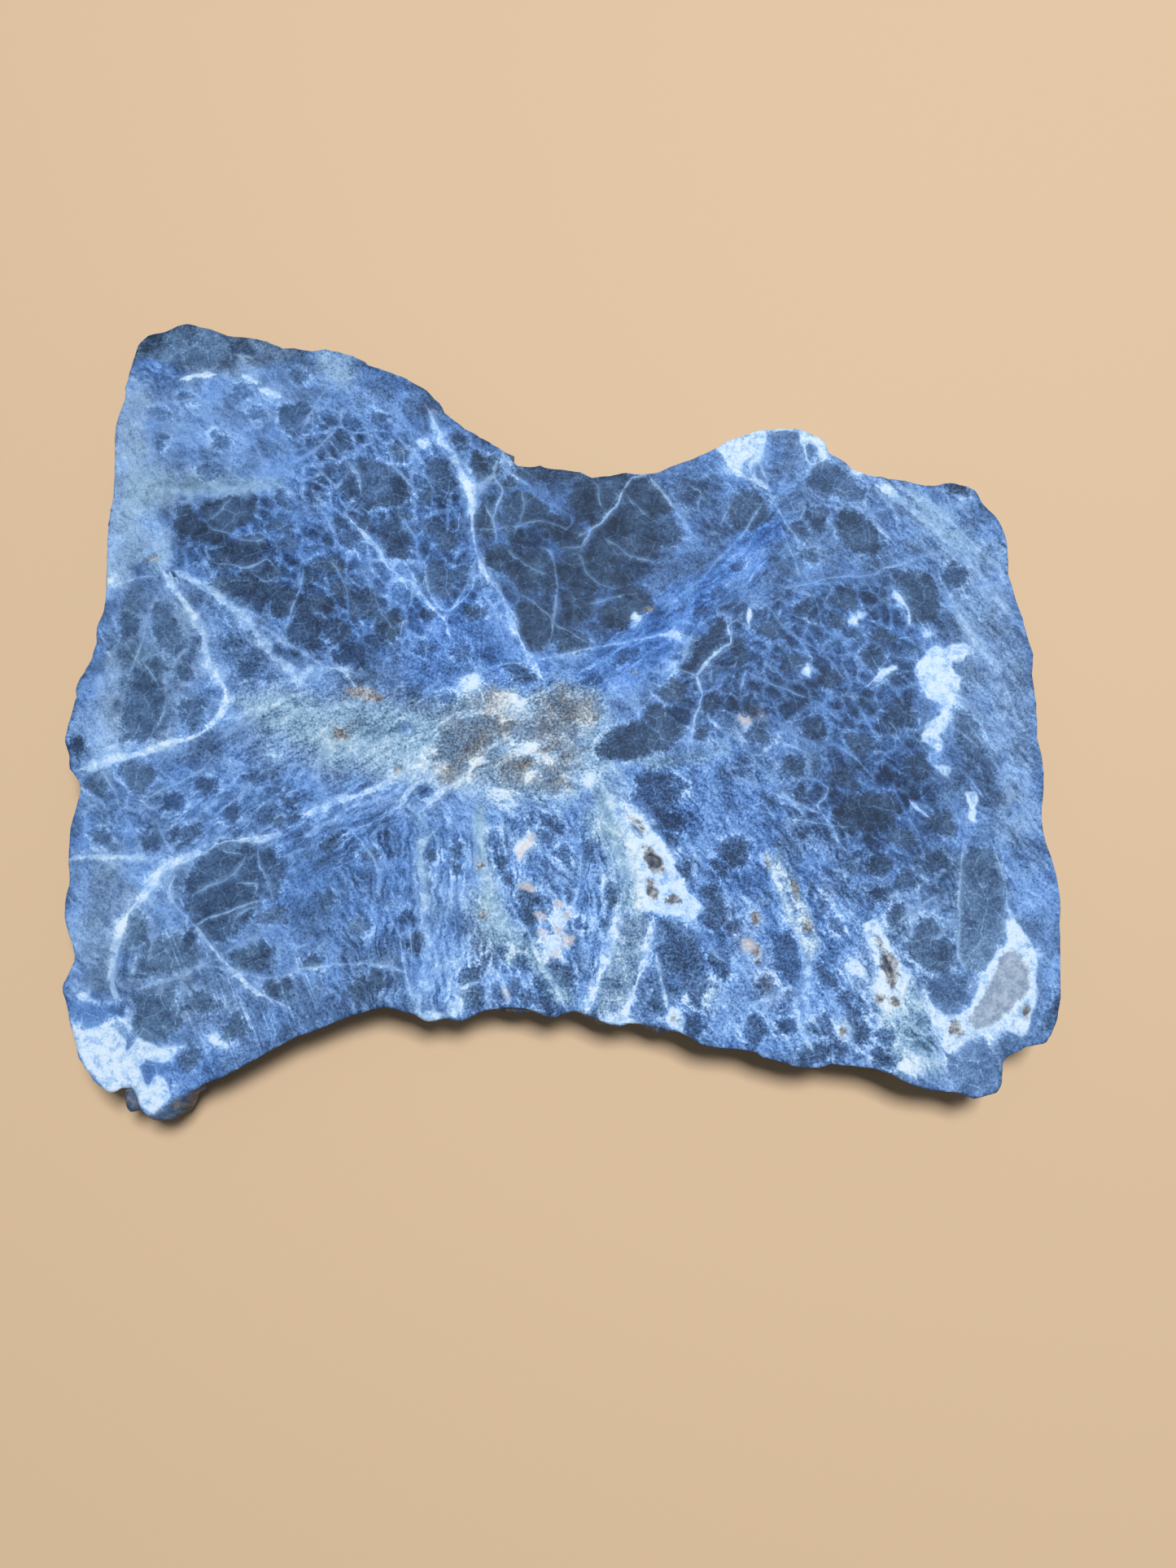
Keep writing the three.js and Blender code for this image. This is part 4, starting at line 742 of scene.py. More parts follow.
# Brown to tan iron-stained veins and spots.
TANS = """
-30,0.3 -28.6,0.7 -27,0.9 -25,0 -24.3,-0.8 -25.5,-1.5 -27.2,-1.1 -28.8,-0.5
13,12.2,1.4,0.7,10 / 10.8,3,0.6,0.5 / -22.3,-11,1.4,1,60 / -30.2,-6.2,2.2,1.3,-20 /
  -4,-10.4,2.6,1.2,20 / -58.5,20,1.6,1.1 / -10.6,-24.3,0.9,1.5 / -9.8,-31.2,1.2,1.6
9.8,-16.8 11,-18.4 12.2,-19.2 12.3,-20 11.2,-19.3 10,-18
11.9,-21.5 13.1,-21.9 14.7,-24 14.8,-25.5 13.4,-25.8 12.7,-24.6 12.2,-23.1
12.9,-27.4,1.1,1.6 / 13.4,-28.6,1.2,0.9 / 16.1,-29.2,1.8,1 / 32.7,-27.8,0.8,2.6,20 /
  29,-23.8,0.5,2.4,10 / 33.9,-32.6,1.1,1.6,10
43.2,-34.7 44,-36 44.1,-38 44.6,-39.5 45.4,-41 46.1,-40 45.9,-38.5 46.4,-37.2 45.2,-36.4 44.3,-35.7
  43.6,-34.4
43.6,-42.4,1.5,1.1 / 45.6,-43,1.4,1.2 / 53.4,-46.4,2.4,1.6,-20 / 38.4,-46.8,1,1.3 / 63.4,-44.2,1,1.8
  / 26.9,-36,1.6,3,20 / 27,-31.5,1.4,2 / 16,-44.9,0.8,1.3
"""

# Grey-blue core of the widest white vein.
CORES = """
61,-35.8 62.3,-35.8 63.5,-37.5 64,-39 63.8,-41 62.3,-42.5 61.3,-44 60,-44.8 58,-46 56.3,-46.3
  55.5,-45.5 56.5,-43.5 58,-41.5 59.5,-39 60.5,-37
"""

# Peach-pink feldspar spots.
PEACHES = """
-4.4,-22,3.6,1.8,55 / -3.7,-27.6,2.2,1,-20 / 0.3,-29.5,1.6,1.4 / -1.9,-31.4,1.8,1.1,-40 /
  0.2,-33.4,1.4,1.4 / 1.5,-34.8,1.6,1.8 / -1.6,-33.8,1.6,1.2,-30 / 0.2,-36.6,1,1.4 / 1.5,-31.2,1,1.6
  / 26.2,-35.4,1.6,1.6 / -6.4,-41.8,0.8,1.8,30 / 26.5,-4,1.6,1
"""

# How the ground between the marks changes over the slab: its value where no area says
# otherwise, and the areas that are laid on in this order, each with its value and the width of
# its edge.
GROUND = {
    # lightness
    "light": (0.46, """
0.6 6 -45,42,50,24,-15
0.36 3 left_tip
0.43 3 -48,55 -30,53 -22,48 -8,37 -10,34.5 -22,44 -30,49 -40,50.5
0.35 2 -30,51 -20,47 -6,36 -6,33 -12,35 -22,43.5
0.66 3 -33,50.3,6,4,-20
0.65 5 -61,44 -50,44 -42,38 -38,33 -52,32 -62,34
0.74 3 left_rim
0.58 2 -52,31,18,3,3
0.71 3 -60,31,6,12
0.78 3 -58.3,23,5,10,10
0.44 5 back_net
0.34 5 dark_left
0.25 5 -50,21 -38,22 -31,14 -31,8 -40,12 -48,17
0.49 4 -26,19,6,16,45
0.41 4 -22,13 -8,15 -2,4 -6,-1 -22,-1
0.44 4 left_lobe
0.76 3 -64,-3.5,6,11,8
0.82 2 -63,-6.5,3.4,4
0.71 2 -62.5,3,2,7
0.5 4 -53,16 -47,12 -40,5 -34,2 -30,0 -36,-4 -45,-4 -50,4
0.6 5 green_arm
0.66 4 -33,-5.5,7,6
0.45 2.5 -25,-5,9,2.6,5
0.74 3 -29,-11 -24,-8 -18,-7.5 -17,-9.5 -18,-13 -22,-13.5 -27,-14.5
0.5 3 -36,-10.5,10,4
0.46 3 -42,-8,5,6
0.55 5 -64,-11 -48,-9 -44,-20 -54,-23 -66,-23
0.59 3 -66,-14,4,9
0.62 5 -48,-9 -34,-12 -22,-14 -30,-21 -46,-20
0.47 5 -40,-21 -24,-16 -16,-18 -18,-42 -30,-44 -40,-34
0.59 4 -60,-23 -50,-25 -50,-34 -62,-40 -66,-34
0.67 4 -67,-25 -64,-24 -64,-40 -66,-40
0.52 5 -60,-32 -46,-36 -34,-44 -44,-52 -56,-48
0.46 4 -46,-40 -34,-44 -36,-49 -48,-54 -52,-50
0.45 3 -38,-31,6,9,-20
0.67 4 -19,-16 -6,-17 -6,-30 -8,-42 -19,-44
0.65 4 -14,-26,4,14
0.6 4 -6,-18 6,-18 10,-30 4,-44 -6,-43
0.68 3 4,-39,4,9,10 / -0.5,-33,4,8,10
0.62 4 -16,1 -9,4 5,3 8,-4 8,-12 2,-16 -8,-16 -16,-12
0.6 3 -16,1 -9,4 5,3 7.5,-4 8,-12 2,-16 -8,-16 -16,-12
0.8 1.5 -6.5,-1.9,7,3.4,-10
0.68 4 -16,-8 -22,-9 -17,-16 -8,-19 0,-17 6,-13 -4,-14 -12,-13
0.79 4 5,-10 10,-10 12,-20 13,-31 9,-31 6,-20
0.55 3 14,-9.5,9,2,-5
0.24 4 dark_back
0.19 4 6,20,18,20
0.42 4 back_right
0.51 3 27,34,7,3,20
0.55 5 upper_right
0.63 3 56,25.5,4,13,50
0.52 2.5 4,3 12,11.5 20,18 30,23 31,20 22,10.5 12,3 6,0
0.51 3 32,26,4,9,-20
0.32 5 dark_right
0.56 3 16,5,14,7,30
0.65 3 9,0,7,5
0.19 4 45,-14,16,12,-20
0.3 4 34,6,16,14
0.62 4 right_rim
0.53 3 59,-2,4,9,20
0.65 3 65,-12,3,14
0.58 4 10,-8 22,-3 34,-5 34,-14 30,-24 22,-30 14,-22
0.5 4 25,-10.5,7,4,-20
0.37 4 20,-28 30,-22 42,-24 46,-34 38,-40 24,-38
0.59 3 38,-25,10,4,-30
0.67 4 26.5,-36,6,11,15 / 18,-38 30,-40 40,-40 46,-44 44,-51 30,-49 18,-46
0.77 3 19.5,-41.5,4,6
0.67 3 24,-42,3,9
0.74 4 44,-40 50,-40 52,-47 54,-54 46,-53 43,-47
0.55 2.5 49.3,-46.5,2.6,5
0.5 3 37,-33 44,-34 43,-40 36,-39
0.47 4 lower_right
0.65 3 corner_rim
0.63 2 62.9,-22,2,3
0.55 3 48.5,-29.3,5,2.4,20
0.8 2 27.5,-31.5,3,8,25
0.74 2 38.5,-30.5,4,6,30
0.66 2 33,-32,4,12,20
0.8 2 50,-39 54,-38.5 56,-40 55,-43 52,-44
0.89 2 51,-47 60,-46.5 59,-49 55,-48.5 51,-53 48,-53
0.66 2.5 -26.5,-9.5,7,2,15
0.5 3 -52,35.5,9,5,-10
0.27 3 -17,29.5,6,6
0.37 2 -13,25,3,5
0.63 2 -13,20 -11,21 -6,9 -4,4 -7,4 -12,12
0.72 3 -7,34.5,6,3,-10
0.38 4 -3,28,8,7
0.57 3 -21.5,9,5,7,20
0.65 3 -22,18,12,2.5,-55
0.36 3 15,10.5,5,4,30
0.58 3 23,10,5,3
0.46 3 -2,4,4,2.5
0.48 3 13.5,0,5,3
0.62 3 -31,-10.5,5,3
0.72 3 -19.5,-16.5,7,4,20
0.42 3 -27.5,-15,8,4,10 / -18,-20.5,4,3
0.4 4 30,-15,12,5,-10
0.35 3 58,-12,5,16,5
0.3 3 58,-30,4,8
0.62 3 23,-30,4,4
0.73 4 22,-44,10,4
0.6 2 53,-42,4,4
0.7 3 48,-31,9,4,10
0.5 3 -32,-39,5,6
0.55 3 -42,-17,10,6
0.77 3 -59.5,-45,7,4
0.44 3 -61,48,6,5
0.71 3 -47,49,7,4,-15
0.47 2 -33,45,5,5
0.57 2 -22.5,44,3,4,-40
0.5 3 -42,38,7,7,-20
0.35 3 -43,28,9,4
0.42 2 -42,10.5,8,4,-30
0.5 3 -37,0,4,3
0.55 3 -12,-1,4,3
0.54 3 -37,-5.5,5,3
0.6 3 -7,-9.5,4,3
0.3 3 14.5,-17,8,10,10
0.5 2.5 3,-27,5,9
0.42 3 29,-13,12,5,-20
0.46 3 28,-20,6,5,-50
0.42 3 23,-25,4,5
0.44 3 38,-25,5,3
0.62 4 18,-38,5,9
0.62 3 38,-41,5,4
0.56 3 48,-36,5,7
0.36 2.5 -17,-20.5,4,3
0.54 3 -41,-33,9,7,-20
0.38 3 -41,-38,8,5
0.56 3 -32,-46,3,4
0.5 3 -27,-15,6,3
0.44 3 -36,-16,7,5,10
0.62 3 -22.5,-16,5,3,10
0.68 3 39,-36 42,-37 45,-43 44,-50 41,-50 40,-44
0.66 3 25,-33 29,-34 32,-42 30,-46 26,-42
0.56 4 -62,-30,5,14
0.6 4 -54,-38,9,7,-20
"""),
    # how far the blue leans to royal (1) or to slate (0)
    "royal": (0.7, """
0.74 6 -45,42,50,24,-15
0.1 3 left_tip
0.95 3 -59,50,7,5,-20
0.37 3 -34,50,8,4,-20
0.42 3 left_rim
0.2 4 -57,31,14,8
0.9 5 dark_left
0.82 3 -58.5,26.5,3,5
0.82 5 -34,42 -22,43 -12,33 -12,24 -26,30
0.95 3 -37,34.5,4,5,-20
1.15 3 -22,13 -8,15 -2,4 -4,0 -22,0
0.3 4 left_lobe
0.67 4 -53,18 -47,13 -40,6 -46,0 -50,6
0.37 5 green_arm
0.92 5 -56,-10 -34,-12 -22,-15 -16,-18 -20,-36 -40,-30 -40,-20 -54,-17
0.57 5 -60,-25 -50,-36 -34,-42 -44,-52 -60,-44
0.3 4 -61,-32,8,18
0.45 4 -50,-42,12,10,-30
0.9 3 -66,-42 -59,-43 -58,-46 -64,-46
0.92 3 -52,-47 -44,-49 -44,-53 -52,-56 -54,-52
0.9 5 -19,-16 6,-17 10,-30 4,-44 -19,-44
0.52 4 -9.5,-34,6,12,20
0.55 4 dark_back
0.72 4 back_right
0.98 2 3,3 5,6.5 12,12.5 18,17 28,24 33,31 36,30 32,21 24,11 16,5 7,0
0.72 5 upper_right
0.75 5 dark_right
0.95 3 49,10,3.5,9
0.52 4 right_rim
1.05 4 10,-10 24,-8 30,-14 30,-24 40,-26 40,-44 30,-50 14,-46
0.98 2 24,-41.5,4,10
0.95 2 22,-34,6,3,-40
0.57 4 lower_right
0.92 3 corner_rim
0.9 2 49.3,-46.5,3,5
0.7 4 -4,26,12,14
1.5 4 2,1 5,5.5 12,11.5 18,16 26,22 30,27 33,26 29,19 22,11 15,4 9,1
1.3 3 -12,5 -8,6 0,4 2,1 -4,1.5 / -15.5,9,5,7,-20
"""),
    # green-grey tinge
    "green": (0.0, """
0.55 3 -51,31.2,20,3.5,3
0.5 3 -61,30,6,14
0.45 3 -33,50.3,6,4,-20
0.4 3 -58,21,5,5
0.15 4 -57,14 -52,10 -54,-6 -60,-6 -62,4
0.75 4 -44,-1 -30,-1 -16,-2.5 -12,-8 -16,-12 -30,-10 -42,-6
0.4 3 -24.5,10,4,4
0.5 3 -16,-1 -9,1 5,1 8,-4 8,-12 2,-16 -8,-16 -16,-12
0.7 3 14,-9.5,10,2,-5
0.5 3 22.5,-9.3,4,2
0.6 2 -18.3,-24,2,12
0.5 2 -11,-21,2,8
0.7 3 -11,-28 -7,-29 -1,-38 3,-44 0,-44 -5,-38 -11,-34 / 4,-12 9,-18 11,-30 8,-30 5,-20
0.5 3 56,25.5,4,13,50
0.7 3 44,-40 49,-40 50,-46 52,-53 46,-52 43,-47
0.5 3 19.5,-41.5,4,6
0.4 3 35.5,-11,4,3
0.8 1.5 -11.6,-16 -10,-15.6 -9.4,-21 -7.6,-27 -8,-31 -9,-33.2 -10.7,-31 -10,-27 -11.6,-20 /
  -11.2,-31.4 -7,-33 -3.4,-36.6 -0.8,-40 1.6,-43.6 -0.6,-44 -3.4,-39.6 -7.4,-35.6 / 4.6,-15.6
  6.6,-15.2 9.2,-19.2 11.2,-22.5 11.8,-27 12.2,-30.6 9,-30.6 8.2,-26 7,-20.6
"""),
    # tan and mauve tinge
    "warm": (0.0, """
0.4 3 -15.5,-2 -9,0 -3,0 3,-1.5 6,-6 4,-13 -2,-14.5 -6,-11 -14,-14 -17,-10
0.85 2.5 -17.5,-9.5 -16,-5 -12.5,-0.5 -8,0 0,0.2 5,-0.8 6,-3 3,-7 2,-14 -6,-14 -9,-8 -13,-10
  -14,-13.5 -16,-13
0.45 3 -30,-5,5,3
0.3 2 -18.7,43.3,3,2
0.35 3 28,-40.5,6,4,-20
0.4 3 26,-33,4,7,10
0.5 2 28.5,-3.5,4,2
0.3 3 37,-28,4,3
0.35 2 26,-12,3,2 / 33,39.4,4,1.5
"""),
    # net of fine pale veins round small dark grains
    "net": (0.2, """
0.08 5 -66,50 -30,54 -16,40 -26,40 -38,34 -55,30 -60,10 -66,12
0.7 5 dark_right
0.95 5 back_net
0.8 5 dark_left
0.2 4 dark_back
0.35 5 16,34 36,38 62,31 66,18 54,20 36,20 22,22
0.5 4 -48,-9 -34,-12 -34,-20 -46,-20 -64,-11 -64,-22 -52,-22
0.6 4 46,-22 62,-22 61,-36 54,-44 47,-38 / 28,-38 46,-44 58,-48 58,-54 44,-51 30,-49
"""),
    # coarse salt-and-pepper of small grains
    "pepper": (0.3, """
0.7 4 -8,-17 8,-17 12,-10 30,-10 44,-24 50,-40 46,-52 20,-48 -14,-44 -12,-30
0.7 3 0,-32,7,16,5
0.9 3 12,-10 18,-10 20,-20 14,-18 / 14,-31 22,-34 24,-46 14,-45
0.8 3 -16,-1 -9,3 5,3 8,-4 8,-12 2,-16 -8,-16 -16,-12
0.75 4 -44,1 -30,2 -16,0 -12,-12 -30,-13 -42,-8
0.65 3 -15,6,16,10
0.02 4 -50,38,34,34,-15
0.1 2 dark_back
0.05 4 -68,52 -58,46 -56,14 -66,10
0.08 4 -58,4,16,26
0.1 4 -56,-30,26,50
"""),
    # saw marks
    "saw": (0.1, """
1 5 -54,-34 -40,-32 -30,-38 -32,-46 -46,-54 -52,-46
0.5 4 57,-17,8,9
0.4 4 -24,-40,10,6 / 60,12,8,14
"""),
    # strength of the streaks
    "flow": (0.5, """
0.15 4 dark_left
0.1 4 dark_back
0.2 4 left_lobe
0.55 3 royal_band
0.25 5 dark_right
1.15 5 -30,-14 -8,-16 8,-17 20,-32 46,-36 60,-46 50,-54 -10,-46 -30,-44
1 5 10,-11 26,-9 40,-22 48,-36 48,-48 40,-52 14,-47 16,-30
0.9 4 44,34 66,30 68,-30 62,-30 57,-12 54,4 50,18
"""),
}

# Which way the grains were pulled, in degrees from the slab's length, laid on in the same way.
PULLS = """
-40 9 -46,40,50,30
-60 6 -66,50 -58,46 -56,10 -48,-6 -60,-10 -68,0
-62 6 -22,44 -10,34 0,8 -4,0 -24,10 -32,26
25 6 -46,2 -16,2 -10,-14 -30,-14 -50,-8
38 7 -52,-12 -20,-12 -22,-24 -40,-26 -60,-24
-86 6 -26,-20 -2,-18 0,-44 -28,-44
-62 6 -40,-28 -26,-26 -26,-44 -50,-54 -60,-34
-66 4 -12,-28 -2,-28 4,-44 -6,-44
-110 4 3,-16 9,-20 13,-31 8,-45 3,-44
-56 6 10,-10 30,-10 48,-30 46,-50 14,-46 14,-28
-50 6 44,-4 68,-4 68,-50 46,-52
38 4 royal_band
40 6 10,5 22,-2 34,10 30,20
-50 7 40,34 66,28 68,0 52,0 48,18
20 4 -12,2 6,4 10,-8 0,-14 -14,-10
"""


def table(count, text):
    """All marks of a table, each after the values of its row. Comments are left out."""
    lines = re.sub(r"#.*|\n  +", " ", text).split("\n")
    rows = [line.split(maxsplit=count) for line in lines if line.strip()]
    return [(*map(float, row[:count]), mark) for row in rows for mark in row[count].split("/")]


def points(text):
    return np.array([pair.split(",") for pair in text.split()], float)


def outline(mark):
    """The corners of a mark. An oval is a little uneven, each in its own way."""
    corners = points(AREAS.get(mark.strip(), mark))
    if len(corners) > 1:
        return corners
    x, y, length, width, turn = [*corners[0], 0][:5]
    a = np.arange(12) * math.pi / 6
    r = 0.5 * (1 + 0.2 * np.sin(3 * a + x) + 0.12 * np.sin(5 * a + 2 * y))
    u, v = length * r * np.cos(a), width * r * np.sin(a)
    c, s = math.cos(math.radians(turn)), math.sin(math.radians(turn))
    return np.c_[x + c * u - s * v, y + s * u + c * v]


def eased(course):
    """A course with its corners rounded, through all its points."""
    p = np.concatenate([[2 * course[0] - course[1]], course, [2 * course[-1] - course[-2]]])
    made = []
    for a, b, c, d in zip(p, p[1:], p[2:], p[3:]):
        for t in (0, 1 / 3, 2 / 3):
            bend = c - a + t * (2 * a - 5 * b + 4 * c - d + t * (3 * (b - c) + d - a))
            made.append(b + 0.5 * t * bend)
    return np.array(made + [course[-1]])


def to_course(at, course):
    """Distance of each place to a course, signed by its side, and how far along it is."""
    a, b = course[:-1], course[1:]
    ab = b - a
    size = np.hypot(*ab.T)
    ap = at[:, None] - a
    t = np.clip((ap * ab).sum(2) / size**2, 0, 1)
    gap = ap - t[..., None] * ab
    far = np.hypot(gap[..., 0], gap[..., 1])
    near = far.argmin(1)
    row = np.arange(len(at))
    side = np.sign(ab[near, 0] * ap[row, near, 1] - ab[near, 1] * ap[row, near, 0])
    start = np.concatenate([[0], np.cumsum(size)])
    run = start[near] + t[row, near] * size[near]
    return side * far[row, near], run, start[-1]


def to_outline(at, ring):
    """Distance of each place to an outline, negative inside it."""
    closed = np.concatenate([ring, ring[:1]])
    far = np.abs(to_course(at, closed)[0])
    (ax, ay), (bx, by) = closed[:-1].T, closed[1:].T
    x, y = at[:, :1], at[:, 1:]
    rise = np.where(by == ay, 1e-9, by - ay)
    cross = ((ay > y) != (by > y)) & (x < ax + (y - ay) * (bx - ax) / rise)
    return np.where(cross.sum(1) % 2 == 1, -far, far)


def close_to(at, ring, gap):
    low, high = ring.min(0) - gap, ring.max(0) + gap
    return np.flatnonzero(((at > low) & (at < high)).all(1))


def spread(at, start, text, meaning=float):
    """A value over the whole slab: the start value, with the areas of a table laid on it."""
    field = np.full(len(at), meaning(start))
    for value, edge, mark in table(2, text):
        ring = outline(mark)
        ids = close_to(at, ring, edge)
        part = smooth(0.5 - to_outline(at[ids], ring) / edge)
        field[ids] += part * (meaning(value) - field[ids])
    return field


def scatter(size, seed):
    """Two columns of noise, to move places about with."""
    return np.c_[noise(co, size, seed), noise(co, size, seed + 1)]


co = np.zeros(len(mesh.vertices) * 3)
mesh.vertices.foreach_get("co", co)
co = co.reshape(-1, 3) / MM
plan = co[:, :2] - OFF
# marks drift a little with depth, and their outlines are never quite straight
drift = 0.34 * scatter(2.6, 11) + 0.16 * scatter(1.1, 17)
drift += 0.12 * scatter(7.0, 13) * (THICK - co[:, 2:])
loose = plan + 1.2 * scatter(4.5, 15) + 0.7 * scatter(1.6, 19)
ground = {name: spread(loose, *given) for name, given in GROUND.items()}


def doubled(wave):
    """A wave of twice an angle: turned half round, the same pull again."""
    return lambda angle: wave(math.radians(2 * angle))


PULL = -40  # where no area says otherwise
pull_angle = np.arctan2(*(spread(plan, PULL, PULLS, doubled(wave)) for wave in (math.sin, math.cos)))
way = pull_angle / 2
along, across = np.c_[np.cos(way), np.sin(way)], np.c_[-np.sin(way), np.cos(way)]


def crowd(size, stretch, seed):
    """Small grains crowded together, drawn out along the pull: how far each place is inside
    its grain, and that grain's own shade."""
    spot = plan + size * 0.3 * scatter(size * 0.9, seed)
    cell = np.floor(spot / size)
    first, second = np.full(len(spot), 1e9), np.full(len(spot), 1e9)
    shade = np.zeros(len(spot))
    for i in range(-3, 4):
        for j in range(-3, 4):
            key = (cell + [i, j]) @ [12.9898, 78.233] + seed
            rand = [np.sin(key * k) * 43758.5453 % 1 for k in (1, 1.7, 2.3)]
            gap = (cell + [i, j] + np.stack(rand[:2], 1)) * size - spot
            far = np.hypot((gap * along).sum(1) / stretch, (gap * across).sum(1))
            win = far < first
            second = np.where(win, first, np.minimum(second, far))
            first, shade = np.where(win, far, first), np.where(win, rand[2], shade)
    return second - first, shade


at = plan + drift
fine_at = plan + drift * 0.5
REACH = 2.4  # how far from a mark its distance is still kept


def nearest(text, count=0):
    """Distance to the nearest mark of a table, and that one's own values."""
    far = np.full(len(at), REACH)
    kept = np.zeros((len(at), count))
    for *values, mark in table(count, text):
        ring = outline(mark)
        ids = close_to(at, ring, REACH)
        d = to_outline(at[ids], ring)
        win = d < far[ids]
        far[ids[win]] = d[win]
        kept[ids[win]] = values
    return [far, *kept.T]


def keep(name, *columns):
    """Keeps four values for each point of the slab, for the shader to read."""
    store = mesh.attributes.new(name, "FLOAT_COLOR", "POINT")
    store.data.foreach_set("color", np.stack(np.broadcast_arrays(*columns), 1).ravel())


# Veins that come near each other go into different sets, so that one never hides another.
SETS = ("vein_a", "vein_b", "vein_c")
CLEAR = 1.3  # how far apart the veins of a set are
TAPER = 2.2  # how long a vein thins out at its ends, and a third of a short one
sets = [[] for _ in SETS]
for width, light, mark in table(2, VEINS):
    course = eased(points(mark))
    gaps = []
    for s in sets:
        near = [np.abs(to_course(course, other[2])[0]).min() for other in s]
        gaps.append(min(near, default=9.0))
    free = [k for k, gap in enumerate(gaps) if gap > CLEAR]
    best = free[0] if free else int(np.argmax(gaps))
    sets[best].append((width, light, course))

for name, s in zip(SETS, sets):
    signed, far = np.full(len(at), REACH), np.full(len(at), REACH)
    half, light = np.zeros(len(at)), np.zeros(len(at))
    for width, shine, course in s:
        ids = close_to(fine_at, course, REACH)
        d, run, length = to_course(fine_at[ids], course)
        win = np.abs(d) < far[ids]
        ids, d, run = ids[win], d[win], run[win]
        end = np.minimum(run, length - run) / min(TAPER, length / 3)
        taper = np.sqrt(smooth(end + 0.12))
        signed[ids], far[ids], half[ids], light[ids] = d, np.abs(d), width / 2 * taper, shine
    keep(name, signed, far, half, light)

cell_far, cell_light, cell_hue = nearest(CELLS, 2)
keep("cell", cell_far, cell_light, 0.1 + 0.9 * cell_hue, 0.0)
keep("spar", *(nearest(text)[0] for text in (WHITES, TANS, CORES, PEACHES)))
keep("ground", *(ground[name] for name in ("light", "royal", "green", "warm")))
keep("grain", *(ground[name] for name in ("net", "pepper", "saw", "flow")))
STREAKS = (-86, -58, -36, 34)  # the directions that streaks are drawn in, in degrees
ways = [np.maximum(0.02, np.cos(pull_angle - 2 * math.radians(w))) ** 3 for w in STREAKS]
keep("pull", *(w / sum(ways) for w in ways))
keep("crowd", *crowd(2.7, 1.7, 21), *crowd(1.15, 1.5, 31))  # grains of 2.7 and 1.15 mm

# The map that the finished colours are laid out on: the sawn face takes most of it, the
# other saw cut a corner, and the broken wall four strips along its foot.
CORNER = np.array([69.6, 58.4])  # of the slab's box, from its middle
TOP_SIZE, BASE_SIZE = 140.5, 860  # millimetres that the map's whole side stands for
MARGIN = 0.004  # free edge of the map
TOP_START = 0.165  # how far up the map the sawn face starts, above the strips
STRIPS = 4
STRIP_START, STRIP_LENGTH = 0.18, 0.8
STRIP_STEP, STRIP_HEIGHT = 0.038, 0.034
corner = np.zeros(len(mesh.loops), np.int32)
mesh.loops.foreach_get("vertex_index", corner)
normal = np.zeros(len(mesh.polygons) * 3)
mesh.polygons.foreach_get("normal", normal)
normal = normal.reshape(-1, 3)
where = co[corner].reshape(-1, 3, 3)
mid = where.mean(1)
uv = np.zeros((len(normal), 3, 2))
top = (mid[:, 2] > THICK - 1.2) & (normal[:, 2] > 0.35)
base = (mid[:, 2] < 0.01) & (normal[:, 2] < -0.9)
side = ~top & ~base
uv[top] = (where[top][..., :2] + CORNER) / TOP_SIZE + [MARGIN, TOP_START]
uv[base] = (where[base][..., :2] + CORNER) / BASE_SIZE + MARGIN
rim_tree, size = tree_of(rim), len(rim)
spot = [rim_tree.find((x, y, 0))[1] for x, y in where[side][..., :2].reshape(-1, 2)]
spot = np.array(spot).reshape(-1, 3).astype(float)
split = spot.max(1, keepdims=True) - spot.min(1, keepdims=True) > size / 2
spot = np.where(split & (spot < size / 2), spot + size, spot)
strip = np.minimum(spot.min(1) // (size / STRIPS), STRIPS - 1)[:, None]
u = STRIP_START + STRIP_LENGTH * (spot / (size / STRIPS) - strip)
v = MARGIN + STRIP_STEP * strip + STRIP_HEIGHT * where[side][..., 2] / THICK
uv[side] = np.stack([np.clip(u, 0.17, 0.997), v], -1)
mesh.uv_layers.new(name="OFBake").data.foreach_set("uv", uv.ravel())


def linear(code):
    """A colour given as a hex value, made linear for the shader."""
    parts = [int(code[k : k + 2], 16) / 255 for k in (1, 3, 5)]
    return [p / 12.92 if p < 0.04045 else ((p + 0.055) / 1.055) ** 2.4 for p in parts] + [1]


def add(kind, ins=(), out=0, stops=(), **sets):
    """Adds a shader node with its settings and links, and gives back one of its outputs."""
    made = tree.nodes.new("ShaderNode" + kind)
    for name, value in sets.items():
        setattr(made, name, value)
    for key, value in ins.items() if isinstance(ins, dict) else enumerate(ins):
        if isinstance(value, bpy.types.NodeSocket):
            tree.links.new(value, made.inputs[key])
        elif value is not None:
            made.inputs[key].default_value = value
    for k, (position, code) in enumerate(stops):
        bands = made.color_ramp.elements
        band = bands[k] if k < len(bands) else bands.new(position)
        band.position, band.color = position, linear(code)
    return made.outputs[out] if made.outputs else made


# Sodalite, sawn and not polished: a dull, slightly waxy cut that shows every grain.
rock_look = bpy.data.materials.new("sawn_sodalite_rock")
rock_look.use_nodes = True
tree = rock_look.node_tree
tree.nodes.clear()

